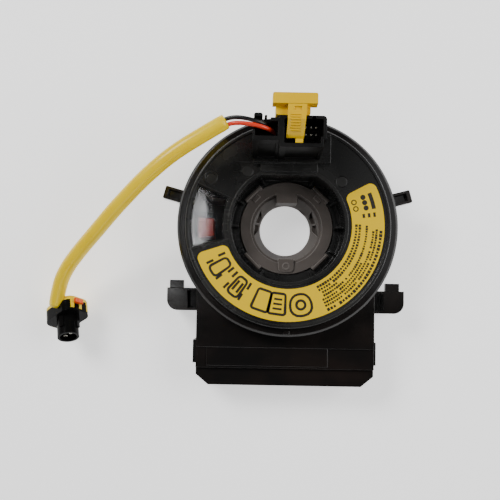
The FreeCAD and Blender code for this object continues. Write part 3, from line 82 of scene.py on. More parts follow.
# The sides of the lead's pieces, and the steps between two control points of a route.
WIRE_SIDES = 20
SLEEVE_SIDES = 40
ROUTE_STEPS = 12

log = logging.getLogger("clock_spring_looks")

Colour = tuple[float, float, float]
Place = tuple[float, float, float]
Outlines = tuple[list[Vector], list[Vector]]


class Body(Enum):
    """The body that pieces of this script ride on."""

    ROTOR = "rotor"


class Slot(Enum):
    """Names of material slots in the record; nothing in this script uses them."""

    LABEL = "yellow_label"
    SLEEVING = "yellow_sleeving"
    RED_WIRE = "red_wire_cover"
    BLACK_WIRE = "black_wire_cover"


@dataclass(frozen=True)
class Signal:
    """One value that varies over a surface, with the sums that a finish needs.

    Attributes:
        sheet: The node tree that the value belongs to.
        socket: The node output that carries it.
    """

    sheet: "NodeSheet"
    socket: bpy.types.NodeSocket

    def maths(self, operation: str, *others: Any) -> "Signal":
        """Run one Math node on this value and others.

        Args:
            operation: The Math node's operation.
            others: Numbers or signals for the other inputs.

        Returns:
            The result.
        """
        inputs = dict(enumerate((self, *others)))
        made = self.sheet.node("ShaderNodeMath", {"operation": operation}, inputs)
        return Signal(self.sheet, made.outputs[0])

    def __add__(self, other: Any) -> "Signal":
        """Add a value."""
        return self.maths("ADD", other)

    __radd__ = __add__

    def __mul__(self, other: Any) -> "Signal":
        """Multiply by a value."""
        return self.maths("MULTIPLY", other)

    __rmul__ = __mul__

    def __sub__(self, other: Any) -> "Signal":
        """Take a value away."""
        return self.maths("SUBTRACT", other)

    def __rsub__(self, other: Any) -> "Signal":
        """Take this value away from a number."""
        return self * -1.0 + other

    def __truediv__(self, other: Any) -> "Signal":
        """Divide by a value."""
        return self.maths("DIVIDE", other)

    def ramp(self, low: float, high: float) -> "Signal":
        """Turn the stretch between two values into 0 to 1, with soft ends.

        Args:
            low: The value that becomes 0.
            high: The value that becomes 1.

        Returns:
            The result.
        """
        settings = {"interpolation_type": "SMOOTHSTEP"}
        inputs = {"Value": self, "From Min": low, "From Max": high}
        made = self.sheet.node("ShaderNodeMapRange", settings, inputs)
        return Signal(self.sheet, made.outputs[0])


class NodeSheet:
    """A node tree, with short calls that add nodes to it."""

    def __init__(self, tree: bpy.types.NodeTree) -> None:
        """Take over a node tree."""
        self.tree = tree

    def node(self, kind: str, settings: dict[str, Any], inputs: dict[Any, Any]) -> bpy.types.Node:
        """Add one node, set it, and fill its inputs.

        Args:
            kind: The node's type.
            settings: Its own settings, set first.
            inputs: Values, sockets or signals by input name or number.

        Returns:
            The node.
        """
        made = self.tree.nodes.new(kind)
        for key, value in settings.items():
            setattr(made, key, value)
        for key, value in inputs.items():
            self.feed(made.inputs[key], value)
        return made

    def feed(self, socket: bpy.types.NodeSocket, value: Any) -> None:
        """Link a signal or a socket to an input, or set the input's own value.

        Args:
            socket: The input.
            value: A signal, a socket or a plain value.
        """
        if isinstance(value, Signal):
            self.tree.links.new(value.socket, socket)
        elif isinstance(value, bpy.types.NodeSocket):
            self.tree.links.new(value, socket)
        else:
            socket.default_value = value


@dataclass(frozen=True)
class Pattern:
    """A smooth random pattern over a surface.

    Attributes:
        size: Its coarsest size in metres.
        detail: How many finer layers it has.
        limits: The values that become 0 and 1, or None where they stay as they are.
        stretch: How much it is drawn out along X, Y and Z.
    """

    size: float
    detail: float = 3.0
    limits: tuple[float, float] | None = None
    stretch: Place = (1.0, 1.0, 1.0)


Shares = tuple[tuple[Pattern, float], ...]


class MaterialSheet(NodeSheet):
    """A node material with one Principled shader, and short calls that add nodes to it."""

    def __init__(self, name: str) -> None:
        """Make the material.

        Args:
            name: The material's name.
        """
        self.material = bpy.data.materials.new(name)
        self.material.use_nodes = True
        super().__init__(self.material.node_tree)
        self.tree.nodes.clear()
        self.shader = self.tree.nodes.new("ShaderNodeBsdfPrincipled")
        output = self.tree.nodes.new("ShaderNodeOutputMaterial")
        self.tree.links.new(self.shader.outputs["BSDF"], output.inputs["Surface"])
        self.places = self.node("ShaderNodeTexCoord", {}, {}).outputs["Object"]
        self.made: dict[Pattern, Signal] = {}

    def pattern(self, wanted: Pattern) -> Signal:
        """Give a pattern, built once for each material.

        Args:
            wanted: The pattern.

        Returns:
            A value from 0 to 1 where the pattern has limits, and else from about 0.3 to 0.7.
        """
        if wanted not in self.made:
            scale = tuple(1.0 / along for along in wanted.stretch)
            placed = self.node("ShaderNodeMapping", {}, {"Vector": self.places, "Scale": scale})
            inputs = {"Vector": placed.outputs[0], "Scale": 1.0 / wanted.size, "Detail": wanted.detail}
            value = Signal(self, self.node("ShaderNodeTexNoise", {}, inputs).outputs[0])
            self.made[wanted] = value.ramp(*wanted.limits) if wanted.limits else value
        return self.made[wanted]

    def total(self, shares: Shares, start: float = 0.0) -> Any:
        """Add up patterns, each times its share, and a plain number to start from."""
        return sum((self.pattern(wanted) * share for wanted, share in shares), start)

    def axes(self) -> tuple[Signal, Signal, Signal]:
        """Split the object's coordinates into X, Y and Z."""
        split = self.node("ShaderNodeSeparateXYZ", {}, {0: self.places})
        return tuple(Signal(self, split.outputs[axis]) for axis in range(3))

    def blend(self, share: Any, first: Any, second: Any) -> bpy.types.NodeSocket:
        """Mix two colours.

        Args:
            share: How much of the second colour shows.
            first: The first colour, or a colour socket.
            second: The second colour, or a colour socket.

        Returns:
            The colour.
        """
        made = self.node("ShaderNodeMix", {"data_type": "RGBA"}, {0: share})
        for index, colour in ((6, first), (7, second)):
            value = (*colour, 1.0) if isinstance(colour, tuple) else colour
            self.feed(made.inputs[index], value)
        return made.outputs[2]

    def rounded(self, radius: float) -> bpy.types.NodeSocket:
        """Give the way the surface would face with its edges rounded to a radius in metres."""
        return self.node("ShaderNodeBevel", {"samples": BEVEL_SAMPLES}, {"Radius": radius}).outputs[0]

    def edges(self, radius: float) -> Signal:
        """Find the edges of the piece.

        Args:
            radius: How far from an edge the surface still counts, in metres.

        Returns:
            0 on a plain face, rising to 1 at an edge.
        """
        plain = self.node("ShaderNodeNewGeometry", {}, {}).outputs["Normal"]
        inputs = {0: self.rounded(radius), 1: plain}
        match = self.node("ShaderNodeVectorMath", {"operation": "DOT_PRODUCT"}, inputs)
        return Signal(self, match.outputs["Value"]).ramp(*EDGE_LIMITS)

    def relief(self, height: Signal, depth: float, edge: float) -> None:
        """Give the surface a fine relief, and soften its edges.

        Args:
            height: The relief, from 0 to 1.
            depth: How deep it is in metres.
            edge: The radius of a rounded edge in metres, or 0.
        """
        inputs = {"Height": height, "Distance": depth, "Strength": 1.0}
        if edge > 0:
            inputs["Normal"] = self.rounded(edge)
        bump = self.node("ShaderNodeBump", {}, inputs)
        self.tree.links.new(bump.outputs[0], self.shader.inputs["Normal"])

    def fix(self, **values: Any) -> None:
        """Set inputs of the shader that are the same all over the surface."""
        for key, value in values.items():
            self.shader.inputs[key.replace("_", " ")].default_value = value

    def drive(self, **links: Any) -> None:
        """Link inputs of the shader that vary over the surface."""
        for key, value in links.items():
            self.feed(self.shader.inputs[key.replace("_", " ")], value)


@dataclass(frozen=True)
class Finish:
    """A surface: a colour that drifts towards a second one, its roughness and its fine relief.

    Attributes:
        name: The material's name.
        colour: The main colour.
        drift: The colour that it drifts towards.
        tone: The patterns that bring in the second colour.
        gloss: Roughness where it is smoothest.
        rough: The patterns that add to the roughness.
        relief: The patterns of the relief.
        depth: The depth of the relief in metres.
        edge: The radius that edges are softened to in metres, or 0.
        fixed: Inputs of the shader that are the same all over.
        worn_edge: The lighter colour painted on its edges as a highlight, or None.
        ejectors: Where ejector pins of the mould left a mark, as X and Y in metres.
    """

    name: str
    colour: Colour
    drift: Colour
    tone: Shares
    gloss: float
    rough: Shares
    relief: Shares = ()
    depth: float = 0.0
    edge: float = 0.0
    fixed: tuple[tuple[str, Any], ...] = ()
    worn_edge: Colour | None = None
    ejectors: tuple[tuple[float, float], ...] = ()

    def ejector_marks(self, sheet: MaterialSheet) -> tuple[Signal, Signal]:
        """Build the marks of the ejector pins.

        Args:
            sheet: The material that takes them.

        Returns:
            The marks' round lines, and the discs inside them.
        """
        across, along, _ = sheet.axes()
        lines = across * 0.0
        discs = lines
        for x, y in self.ejectors:
            square = (across - x).maths("POWER", 2.0) + (along - y).maths("POWER", 2.0)
            away = square.maths("SQRT")
            lines = lines + (away - EJECTOR_RADIUS).maths("ABSOLUTE").ramp(EJECTOR_LINE, 0.0)
            discs = discs + away.ramp(EJECTOR_RADIUS, EJECTOR_RADIUS - EJECTOR_LINE)
        return lines, discs

    @cache
    def material(self) -> bpy.types.Material:
        """Build the material, once for each finish."""
        sheet = MaterialSheet(self.name)
        tone = sheet.blend(sheet.total(self.tone), self.colour, self.drift)
        rough = sheet.total(self.rough, self.gloss)
        height = sheet.total(self.relief)
        # Painted highlight: edges take a lighter colour, as if light caught them.
        if self.worn_edge is not None:
            tone = sheet.blend(sheet.edges(self.edge) * EDGE_HIGHLIGHT_SHARE, tone, self.worn_edge)
        if self.ejectors:
            lines, discs = self.ejector_marks(sheet)
            tone = sheet.blend(discs * EJECTOR_TONE, tone, self.drift)
            rough = rough + discs * EJECTOR_ROUGH
            height = height - lines * EJECTOR_RELIEF
        sheet.drive(Base_Color=tone, Roughness=rough)
        sheet.fix(**dict(self.fixed))
        if self.relief:
            sheet.relief(height, self.depth, self.edge)
        return sheet.material


def moulded(name: str, colour: Colour, drift: Colour, gloss: float, dull: float, grain: float = 0.0006,
            depth: float = 0.000006, edge: float = 0.00025, ior: float = 1.5, **more: Any) -> Finish:
    """Give the finish of a moulded plastic: a drifting tone, a fine grain and faint handling marks.

    Args:
        name: The material's name.
        colour: The main colour.
        drift: The colour that it drifts towards.
        gloss: Roughness where it is cleanest.
        dull: Roughness where it is most handled.
        grain: The size of the surface grain in metres.
        depth: The depth of the grain in metres.
        edge: The radius that edges are softened to in metres.
        ior: The index of refraction, which sets how much its surface mirrors.
        more: Other attributes of the finish.

    Returns:
        The finish.
    """
    spread = dull - gloss
    rough = tuple((pattern, share * spread) for pattern, share in HANDLING)
    relief = ((Pattern(grain), 1.0), (SCRATCHES, SCRATCH_RELIEF))
    fixed = (("IOR", ior),)
    return Finish(name, colour, drift, TONE, gloss, rough, relief, depth, edge, fixed, **more)


@dataclass(frozen=True)
class RibbonFilm:
    """The flat ribbon: a pale film over flat conductors, which show as bands along it.

    Attributes:
        name: The material's name.
        film: The film's colour.
        metal: The colour of a conductor under the film.
        pitch: From one conductor to the next, in metres.
        limits: Where a conductor's edge starts and ends, as shares of the pitch from its middle.
        tone: How much of the metal's colour shows.
        gloss: The film's roughness.
        smoother: What a conductor adds to the roughness.
        rough: The pattern that adds to the roughness.
        depth: How far a conductor stands up, in metres.
    """

    name: str = "ribbon_film"
    film: Colour = (0.72, 0.75, 0.78)
    metal: Colour = (0.62, 0.36, 0.18)
    pitch: float = 0.0026
    limits: tuple[float, float] = (0.36, 0.3)
    tone: float = 0.7
    gloss: float = 0.25
    smoother: float = -0.08
    rough: Shares = ((Pattern(0.002), 0.15),)
    depth: float = 0.00004

    def material(self) -> bpy.types.Material:
        """Build the material."""
        sheet = MaterialSheet(self.name)
        _, _, height = sheet.axes()
        phase = (height / self.pitch).maths("FRACT")
        band = (phase - 0.5).maths("ABSOLUTE").ramp(*self.limits)
        sheet.drive(Base_Color=sheet.blend(band * self.tone, self.film, self.metal))
        sheet.drive(Roughness=band * self.smoother + sheet.total(self.rough, self.gloss))
        sheet.relief(band, self.depth, 0.0)
        return sheet.material


# The patterns of the finishes, and the shares that moulded plastics have in common.
CLOUD = Pattern(0.018, 4.0, (0.35, 0.65))
FLOW = Pattern(0.03, 2.0, (0.4, 0.7), (1.0, 3.5, 1.0))
SCRATCHES = Pattern(0.0011, 6.0, (0.58, 0.72), (9.0, 1.0, 1.0))
DUST = Pattern(0.0004, 2.0, (0.66, 0.74))
PIN_LINES = Pattern(0.0003, stretch=(1.0, 1.0, 12.0))
PIN_WEAR = Pattern(0.0016, limits=(0.5, 0.7))
WINDOW_SCRATCHES = Pattern(0.0009, 5.0, (0.6, 0.75), (1.0, 14.0, 1.0))
WINDOW_HAZE = Pattern(0.012, 2.0, (0.4, 0.7))
WINDOW_FLOW = Pattern(0.006, 1.0)
FILM_MOTTLE = Pattern(0.0007, 4.0, (0.4, 0.65))
FILM_WAVE = Pattern(0.009, 2.0)
INK_WEAR = Pattern(0.0005, 4.0, (0.58, 0.75))
INK_GRAIN = Pattern(0.0003, 2.0)
SLEEVE_CLOUD = Pattern(0.012, limits=(0.35, 0.65))
SLEEVE_LINES = Pattern(0.0012, stretch=(7.0, 7.0, 1.0))
SLEEVE_SCUFFS = Pattern(0.0018, 5.0, (0.62, 0.78))
FLOOR_CLOUD = Pattern(0.4, 2.0, (0.3, 0.7))
TONE = ((CLOUD, 0.6), (FLOW, 0.3))
HANDLING = ((CLOUD, 0.45), (SCRATCHES, 0.4), (DUST, 0.5))

# Black gloss drifts at random towards a reddish brown: partly random tone, partly painted reddish
# reflections in patches.
# The lighter edge colours given below paint highlights along the edges.
BLACK_GLOSS = moulded("black_gloss_plastic", (0.0058, 0.0056, 0.0055), (0.0125, 0.0086, 0.0072),
                      0.10, 0.28, depth=0.000003, edge=0.0004, ior=1.42, worn_edge=(0.030, 0.028, 0.027))
BLACK_FACE = moulded("black_face_plastic", (0.0065, 0.0065, 0.0063), (0.0240, 0.0235, 0.0222),
                     0.20, 0.42, depth=0.000005, edge=0.0005, ior=1.40, worn_edge=(0.050, 0.050, 0.049),
                     ejectors=((-0.0358, 0.0208), (-0.0192, 0.0249), (0.0247, 0.0206)))
BLACK_SATIN = moulded("black_satin_plastic", (0.0042, 0.0042, 0.0042), (0.0080, 0.0076, 0.0072),
                      0.34, 0.54, ior=1.30, worn_edge=(0.020, 0.020, 0.019))
BLACK_PLUG = moulded("black_plug_plastic", (0.0040, 0.0040, 0.0040), (0.0080, 0.0074, 0.0070),
                     0.14, 0.34, grain=0.0004, edge=0.00018, ior=1.12)
WARM_GREY = moulded("warm_grey_plastic", (0.085, 0.073, 0.066), (0.122, 0.106, 0.096), 0.46, 0.66,
                    grain=0.0005, depth=0.00003, edge=0.0005, ior=1.20, worn_edge=(0.34, 0.31, 0.29))
YELLOW_GLOSS = moulded("yellow_gloss_plastic", (0.84, 0.51, 0.0), (0.88, 0.56, 0.0), 0.24, 0.44,
                       edge=0.0003, ior=1.38)
YELLOW_PALE = moulded("yellow_pale_plastic", (0.80, 0.56, 0.004), (0.88, 0.62, 0.012), 0.25, 0.45,
                      edge=0.0002)
ORANGE_GLOSS = moulded("orange_plastic", (0.80, 0.08, 0.01), (0.88, 0.14, 0.02), 0.25, 0.45)
RED_SATIN = moulded("red_flag_plastic", (0.62, 0.05, 0.035), (0.72, 0.12, 0.09), 0.35, 0.55)
SLIP_FILM = moulded("slip_film", (0.10, 0.10, 0.105), (0.16, 0.16, 0.165), 0.30, 0.5)
RED_COVER = moulded("red_wire_cover", (0.80, 0.035, 0.010), (0.88, 0.07, 0.02), 0.28, 0.45, edge=0.0001)
BLACK_COVER = moulded("black_wire_cover", (0.006, 0.006, 0.006), (0.012, 0.012, 0.012), 0.3, 0.48,
                      edge=0.0001)
PLATED_PIN = Finish("tin_plated_pin", (0.46, 0.44, 0.39), (0.48, 0.38, 0.20), tone=((PIN_WEAR, 0.6),),
                    gloss=0.1, rough=((PIN_LINES, 0.25), (PIN_WEAR, 0.08)), relief=((PIN_LINES, 1.0),),
                    depth=0.000003, edge=0.00008, fixed=(("Metallic", 1.0),))
CLEAR_WINDOW = Finish("clear_window", (0.93, 0.93, 0.95), (0.8, 0.8, 0.84), tone=((WINDOW_HAZE, 0.3),),
                      gloss=0.03, rough=((WINDOW_SCRATCHES, 0.16), (WINDOW_HAZE, 0.05)),
                      relief=((WINDOW_FLOW, 1.0),), depth=0.000006, edge=0.0005,
                      fixed=(("Transmission_Weight", 1.0), ("IOR", 1.49)))
LABEL_FILM = Finish("label_film", (0.84, 0.56, 0.0), (0.82, 0.52, 0.0), tone=((FILM_MOTTLE, 0.35),),
                    gloss=0.34, rough=((FILM_MOTTLE, 0.08), (FILM_WAVE, 0.12)),
                    relief=((FILM_WAVE, 1.0), (FILM_MOTTLE, 0.03)), depth=0.0001, fixed=(("IOR", 1.35),))
LABEL_INK = Finish("label_ink", (0.018, 0.014, 0.009), (0.05, 0.036, 0.010), tone=((INK_WEAR, 0.6),),
                   gloss=0.42, rough=((INK_WEAR, 0.15),), relief=((INK_GRAIN, 1.0),), depth=0.000004)
SLEEVING = Finish("soft_sleeving", (0.94, 0.64, 0.0), (0.96, 0.69, 0.004),
                  tone=((SLEEVE_CLOUD, 0.5), (SLEEVE_SCUFFS, 0.2)), gloss=0.26,
                  rough=((SLEEVE_CLOUD, 0.08), (SLEEVE_SCUFFS, 0.2)), relief=((SLEEVE_LINES, 1.0),),
                  depth=0.000012,
                  fixed=(("Subsurface_Weight", 0.04), ("Subsurface_Scale", 0.001), ("IOR", 1.40)))
PALE_FLOOR = Finish("studio_floor", (0.90, 0.90, 0.90), (0.93, 0.93, 0.93), tone=((FLOOR_CLOUD, 0.2),),
                    gloss=0.7, rough=((FLOOR_CLOUD, 0.1),),
                    fixed=(("Emission_Color", (1.0, 1.0, 1.0, 1.0)), ("Emission_Strength", 0.9)))


def dress(finish: Finish | RibbonFilm, *nodes: str) -> None:
    """Give rigid pieces of the frame their finish, and smooth their curved faces.

    Args:
        finish: The finish.
        nodes: The names of the pieces.
    """
    material = finish.material()
    for name in nodes:
        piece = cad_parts[name]
        if not piece.material_slots:
            piece.data.materials.append(material)
        for place in piece.material_slots:
            place.material = material
        for face in piece.data.polygons:
            face.use_smooth = True
        weld = piece.modifiers.new("weld", "WELD")
        weld.merge_threshold = WELD_DISTANCE
        split = piece.modifiers.new("sharp_edges", "EDGE_SPLIT")
        split.split_angle = SMOOTH_ANGLE
        log.info("dressed %s", name)


def finished(name: str, mesh: bmesh.types.BMesh, finish: Finish, body: Body) -> bpy.types.Object:
    """Turn a mesh into a piece that rides on a body.

    Args:
        name: The piece's name.
        mesh: Its mesh, in the frame.
        finish: Its finish.
        body: The body that carries it.

    Returns:
        The piece.
    """
    bmesh.ops.remove_doubles(mesh, verts=mesh.verts, dist=WELD_DISTANCE)
    bmesh.ops.recalc_face_normals(mesh, faces=mesh.faces)
    data = bpy.data.meshes.new(name)
    mesh.to_mesh(data)
    mesh.free()
    data.materials.append(finish.material())
    piece = bpy.data.objects.new(name, data)
    bpy.context.scene.collection.objects.link(piece)
    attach(piece, body.value)
    log.info("made %s with %d faces", name, len(data.polygons))
    return piece


@dataclass
class Housing:
    """The fixed half: case, back cover, rear sockets and what lies inside.

    Attributes:
        satin_pieces: Pieces of satin black plastic.
        grey_pieces: Pieces of warm grey plastic, besides the rollers.
        films: Pieces of dark film.
        pins: Plated pins and terminals.
        rollers: How many rollers the carrier holds.
    """

    satin_pieces: tuple[str, ...] = ("rear_cover", "column_socket", "terminal_board", "roller_carrier")
    grey_pieces: tuple[str, ...] = ("outer_ribbon_block", "inner_ribbon_clip")
    films: tuple[str, ...] = ("lower_slip_sheet", "upper_slip_sheet")
    pins: tuple[str, ...] = ("column_pins", "airbag_pins", "wheel_pins", "plug_terminals")
    rollers: int = 6

    def build(self) -> None:
        """Dress the fixed half and the works inside it."""
        dress(BLACK_GLOSS, "stator_case")
        dress(BLACK_SATIN, *self.satin_pieces)
        dress(YELLOW_GLOSS, "airbag_socket")
        dress(WARM_GREY, *self.grey_pieces, *(f"roller_{number + 1}" for number in range(self.rollers)))
        dress(SLIP_FILM, *self.films)
        dress(PLATED_PIN, *self.pins)
        dress(RibbonFilm(), "ribbon")
        dress(RED_SATIN, "index_flag")


class RotorFace:
    """The turning half: glossy face, grey hub, window and connector block."""

    def build(self) -> None:
        """Dress the turning half."""
        dress(BLACK_FACE, "rotor_face")
        dress(WARM_GREY, "hub_sleeve")
        dress(CLEAR_WINDOW, "window_lens")
        dress(BLACK_SATIN, "wheel_connector")
        dress(YELLOW_GLOSS, "lock_key")


def spot(angle: float, radius: float) -> Vector:
    """Give a point of the label's upper face, from its angle in degrees and radius in metres."""
    turn = math.radians(angle)
    return Vector((radius * math.cos(turn), radius * math.sin(turn), FILM_TOP))


@dataclass(frozen=True)
class Frame:
    """A printed rounded frame, laid along the arc.

    Attributes:
        start: The angle of its first side, in degrees.
        end: The angle of its last side.
        low: The radius of its inner side, in metres.
        high: The radius of its outer side.
        corner: The radius of its corners.
    """

    start: float
    end: float
    low: float = 0.0313
    high: float = 0.0420
    corner: float = 0.0016

    def outline(self, inset: float) -> list[Vector]:
        """Give its outline.

        Args:
            inset: How far every side is moved inwards, in metres.

        Returns:
            Its points.
        """
        middle = (self.low + self.high) / 2
        half = math.radians(self.end - self.start) * middle / 2 - inset
        depth = (self.high - self.low) / 2 - inset
        bend = max(self.corner - inset, self.corner * SMALLEST_BEND)
        points = []
        for quarter, (across, out) in enumerate(((1, 1), (-1, 1), (-1, -1), (1, -1))):
            for step in range(CORNER_STEPS + 1):
                turn = math.radians(90.0 * (quarter + step / CORNER_STEPS))
                along = across * (half - bend) + bend * math.cos(turn)
                radial = out * (depth - bend) + bend * math.sin(turn)
                angle = (self.start + self.end) / 2 + math.degrees(along / middle)
                points.append(spot(angle, middle + radial))
        return points

    def outlines(self) -> Outlines:
        """Give its outline and the outline of its hole."""
        return self.outline(0.0), self.outline(LINE)


@dataclass(frozen=True)
class Bar:
    """A printed straight bar that points away from the bore.

    Attributes:
        angle: The angle that it lies at, in degrees.
        low: The radius that it starts at, in metres.
        high: The radius that it ends at.
    """

    angle: float
    low: float
    high: float

    def outlines(self) -> Outlines:
        """Give its outline, and no hole."""
        start = spot(self.angle, self.low)
        end = spot(self.angle, self.high)
        ahead = (end - start).normalized()
        side = Vector((-ahead.y, ahead.x, 0.0)) * (LINE / 2)
        return [start - side, end - side, end + side, start + side], []


@dataclass(frozen=True)
class Band:
    """A printed band along the arc.

    Attributes:
        start: The angle that it starts at, in degrees.
        end: The angle that it ends at.
        radius: The radius of its middle, in metres.
        width: Its width, as a share of a printed line's.
    """

    start: float
    end: float
    radius: float
    width: float = 1.0

    def outlines(self) -> Outlines:
        """Give its outline, and no hole."""
        half = LINE * self.width / 2
        steps = [step / BAND_STEPS for step in range(BAND_STEPS + 1)]
        angles = [self.start + (self.end - self.start) * share for share in steps]
        outer = [spot(angle, self.radius + half) for angle in angles]
        inner = [spot(angle, self.radius - half) for angle in reversed(angles)]
        return outer + inner, []


@dataclass(frozen=True)
class Disc:
    """A printed disc or ring.

    Attributes:
        angle: The angle of its middle, in degrees.
        radius: The radius of its middle, in metres.
        size: Its own radius.
        hole: The radius of its hole, or 0.
    """

    angle: float
    radius: float
    size: float
    hole: float = 0.0

    def outlines(self) -> Outlines:
        """Give its outline and the outline of its hole, if it has one."""
        middle = spot(self.angle, self.radius)
        turns = [2.0 * math.pi * step / DISC_STEPS for step in range(DISC_STEPS)]
        ways = [Vector((math.cos(turn), math.sin(turn), 0.0)) for turn in turns]
        inner = [middle + way * self.hole for way in ways] if self.hole > 0 else []
        return [middle + way * self.size for way in ways], inner


def ticked_frame(start: float, end: float) -> tuple[Frame | Bar, ...]:
    """Give a tall frame with two ticks at each side.

    Args:
        start: The angle of its first side, in degrees.
        end: The angle of its last side.

    Returns:
        The frame and its ticks.
    """
    shapes = [Frame(start, end, 0.0314, 0.0419, 0.0022)]
    for inner, outer in ((start - 2.8, start - 1.5), (end + 1.9, end + 0.5)):
        shapes += [Bar(inner, 0.0317, 0.0352), Bar(outer, 0.0380, 0.0415)]
    return tuple(shapes)


BIG_MARKS = (
    *ticked_frame(207.7, 217.3),
    *ticked_frame(226.7, 236.7),
    *(Bar(angle, 0.0340, 0.0393) for angle in (229.9, 233.5)),
    Frame(245.3, 258.2),
    Frame(256.8, 269.7),
    *(Band(260.2, 266.4, radius, 0.8) for radius in (0.0345, 0.0367, 0.0389)),
    Frame(271.4, 288.2, 0.0317, 0.0428, 0.0048),
    Disc(279.8, 0.0372, 0.0026, 0.0026 - LINE),
)
SMALL_MARKS = (
    *(Disc(angle, 0.0322, 0.0013, 0.0008) for angle in (374.4, 380.0)),
    Band(371.8, 382.6, 0.0404, 1.6),
    *(Disc(angle, 0.0369, 0.0012) for angle in (373.4, 377.4, 381.4)),
    *(Band(366.4, 369.4, radius) for radius in (0.0352, 0.0377, 0.0402)),
)


@dataclass(frozen=True)
class PrintRow:
    """One row of short printed bars along the label's arc.

    Attributes:
        radius: The radius of the row's middle, in metres.
        end: The angle that it ends at, in degrees.
        height: The height of its bars, in metres.
    """

    radius: float
    end: float
    height: float = 0.0011


@dataclass
class ArcLabel:
    """The sticker on the face, with generic marks printed on it.

    Attributes:
        row_start: The angle that every row starts at, in degrees.
        rows: The rows of short bars, from the bore outwards.
        pitch: From one bar of a row to the next, as a share of the row's height.
        share: How much of the places in a row hold a bar.
        wide: The least and greatest width of a bar, as shares of the pitch.
        tall: Its least and greatest height, as shares of the row's height.
    """

    row_start: float = 295.3
    rows: tuple[PrintRow, ...] = (
        PrintRow(0.0315, 361.7, 0.00125), PrintRow(0.0331, 361.7, 0.00125), PrintRow(0.0347, 315.3),
        PrintRow(0.0363, 360.7), PrintRow(0.0379, 333.7), PrintRow(0.0394, 357.0),
        PrintRow(0.0409, 358.3), PrintRow(0.0429, 357.7, 0.0015),
    )
    pitch: float = 0.00115 / 0.0011
    share: float = 0.95
    wide: tuple[float, float] = (0.62, 0.92)
    tall: tuple[float, float] = (0.7, 1.0)

    @staticmethod
    def plate(mesh: bmesh.types.BMesh, outer: Sequence[Vector], inner: Sequence[Vector]) -> None:
        """Print one closed shape, with a hole in it if an inner outline is given.

        Args:
            mesh: The mesh that takes it.
            outer: Its outline.
            inner: The outline of its hole, with as many points, or nothing.
        """
        lift = Vector((0.0, 0.0, INK))
        low = [mesh.verts.new(point) for point in outer]
        high = [mesh.verts.new(point + lift) for point in outer]
        walls = [(low, high)]
        if inner:
            low_hole = [mesh.verts.new(point) for point in inner]
            high_hole = [mesh.verts.new(point + lift) for point in inner]
            walls += [(high_hole, low_hole), (high, high_hole), (low_hole, low)]
        else:
            mesh.faces.new(high)
            mesh.faces.new(low[::-1])
        for first, second in walls:
            for index in range(len(first)):
                after = (index + 1) % len(first)
                mesh.faces.new((first[index], first[after], second[after], second[index]))

    @staticmethod
    def draw(sheet: NodeSheet, limits: tuple[float, float], seed: bpy.types.NodeSocket) -> Signal:
        """Draw a random number for every bar.

        Args:
            sheet: The node tree.
            limits: The least and the greatest number.
            seed: The socket that carries the seed.

        Returns:
            The number.
        """
        inputs = {2: limits[0], 3: limits[1], 8: seed}
        made = sheet.node("FunctionNodeRandomValue", {"data_type": "FLOAT"}, inputs)
        return Signal(sheet, made.outputs[1])

    def row_tree(self) -> bpy.types.GeometryNodeTree:
        """Build the node tree that lays one row of bars along the arc."""
        tree = bpy.data.node_groups.new("printed_row", "GeometryNodeTree")
        tree.interface.new_socket("Geometry", in_out="INPUT", socket_type="NodeSocketGeometry")
        for name in ("Radius", "Start", "End", "Height", "Pitch", "Share", "Ink", "Level"):
            tree.interface.new_socket(name, in_out="INPUT", socket_type="NodeSocketFloat")
        tree.interface.new_socket("Seed", in_out="INPUT", socket_type="NodeSocketInt")
        tree.interface.new_socket("Geometry", in_out="OUTPUT", socket_type="NodeSocketGeometry")
        sheet = NodeSheet(tree)
        given = sheet.node("NodeGroupInput", {}, {}).outputs
        names = ("Radius", "Start", "End", "Height")
        radius, start, end, height = (Signal(sheet, given[name]) for name in names)
        length = (end - start) * radius
        count = (length / given["Pitch"]).maths("FLOOR")
        points = sheet.node("GeometryNodePoints", {}, {"Count": count})
        index = Signal(sheet, sheet.node("GeometryNodeInputIndex", {}, {}).outputs[0])
        angle = start + (end - start) * ((index + 0.5) / count)
        place = sheet.node("ShaderNodeCombineXYZ", {}, {
            "X": angle.maths("COSINE") * radius,
            "Y": angle.maths("SINE") * radius,
            "Z": given["Level"],
        })
        turn = sheet.node("ShaderNodeCombineXYZ", {}, {"Z": angle})
        laid = sheet.node("GeometryNodeSetPosition", {}, {
            "Geometry": points.outputs[0],
            "Position": place.outputs[0],
        })
        wide = self.draw(sheet, self.wide, given["Seed"])
        tall = self.draw(sheet, self.tall, given["Seed"])
        kept = sheet.node("FunctionNodeRandomValue", {"data_type": "BOOLEAN"},
                          {"Probability": given["Share"], 8: given["Seed"]})
        size = sheet.node("ShaderNodeCombineXYZ", {}, {
            "X": height * tall,
            "Y": wide * given["Pitch"],
            "Z": given["Ink"],
        })
        block = sheet.node("GeometryNodeMeshCube", {}, {"Size": (1.0, 1.0, 1.0)})
        copies = sheet.node("GeometryNodeInstanceOnPoints", {}, {
            "Points": laid.outputs[0],
            "Selection": kept.outputs[3],
            "Instance": block.outputs[0],
            "Rotation": turn.outputs[0],
            "Scale": size.outputs[0],
        })
        real = sheet.node("GeometryNodeRealizeInstances", {}, {"Geometry": copies.outputs[0]})
        finish = {"Geometry": real.outputs[0], "Material": LABEL_INK.material()}
        inked = sheet.node("GeometryNodeSetMaterial", {}, finish)
        sheet.node("NodeGroupOutput", {}, {0: inked.outputs[0]})
        return tree

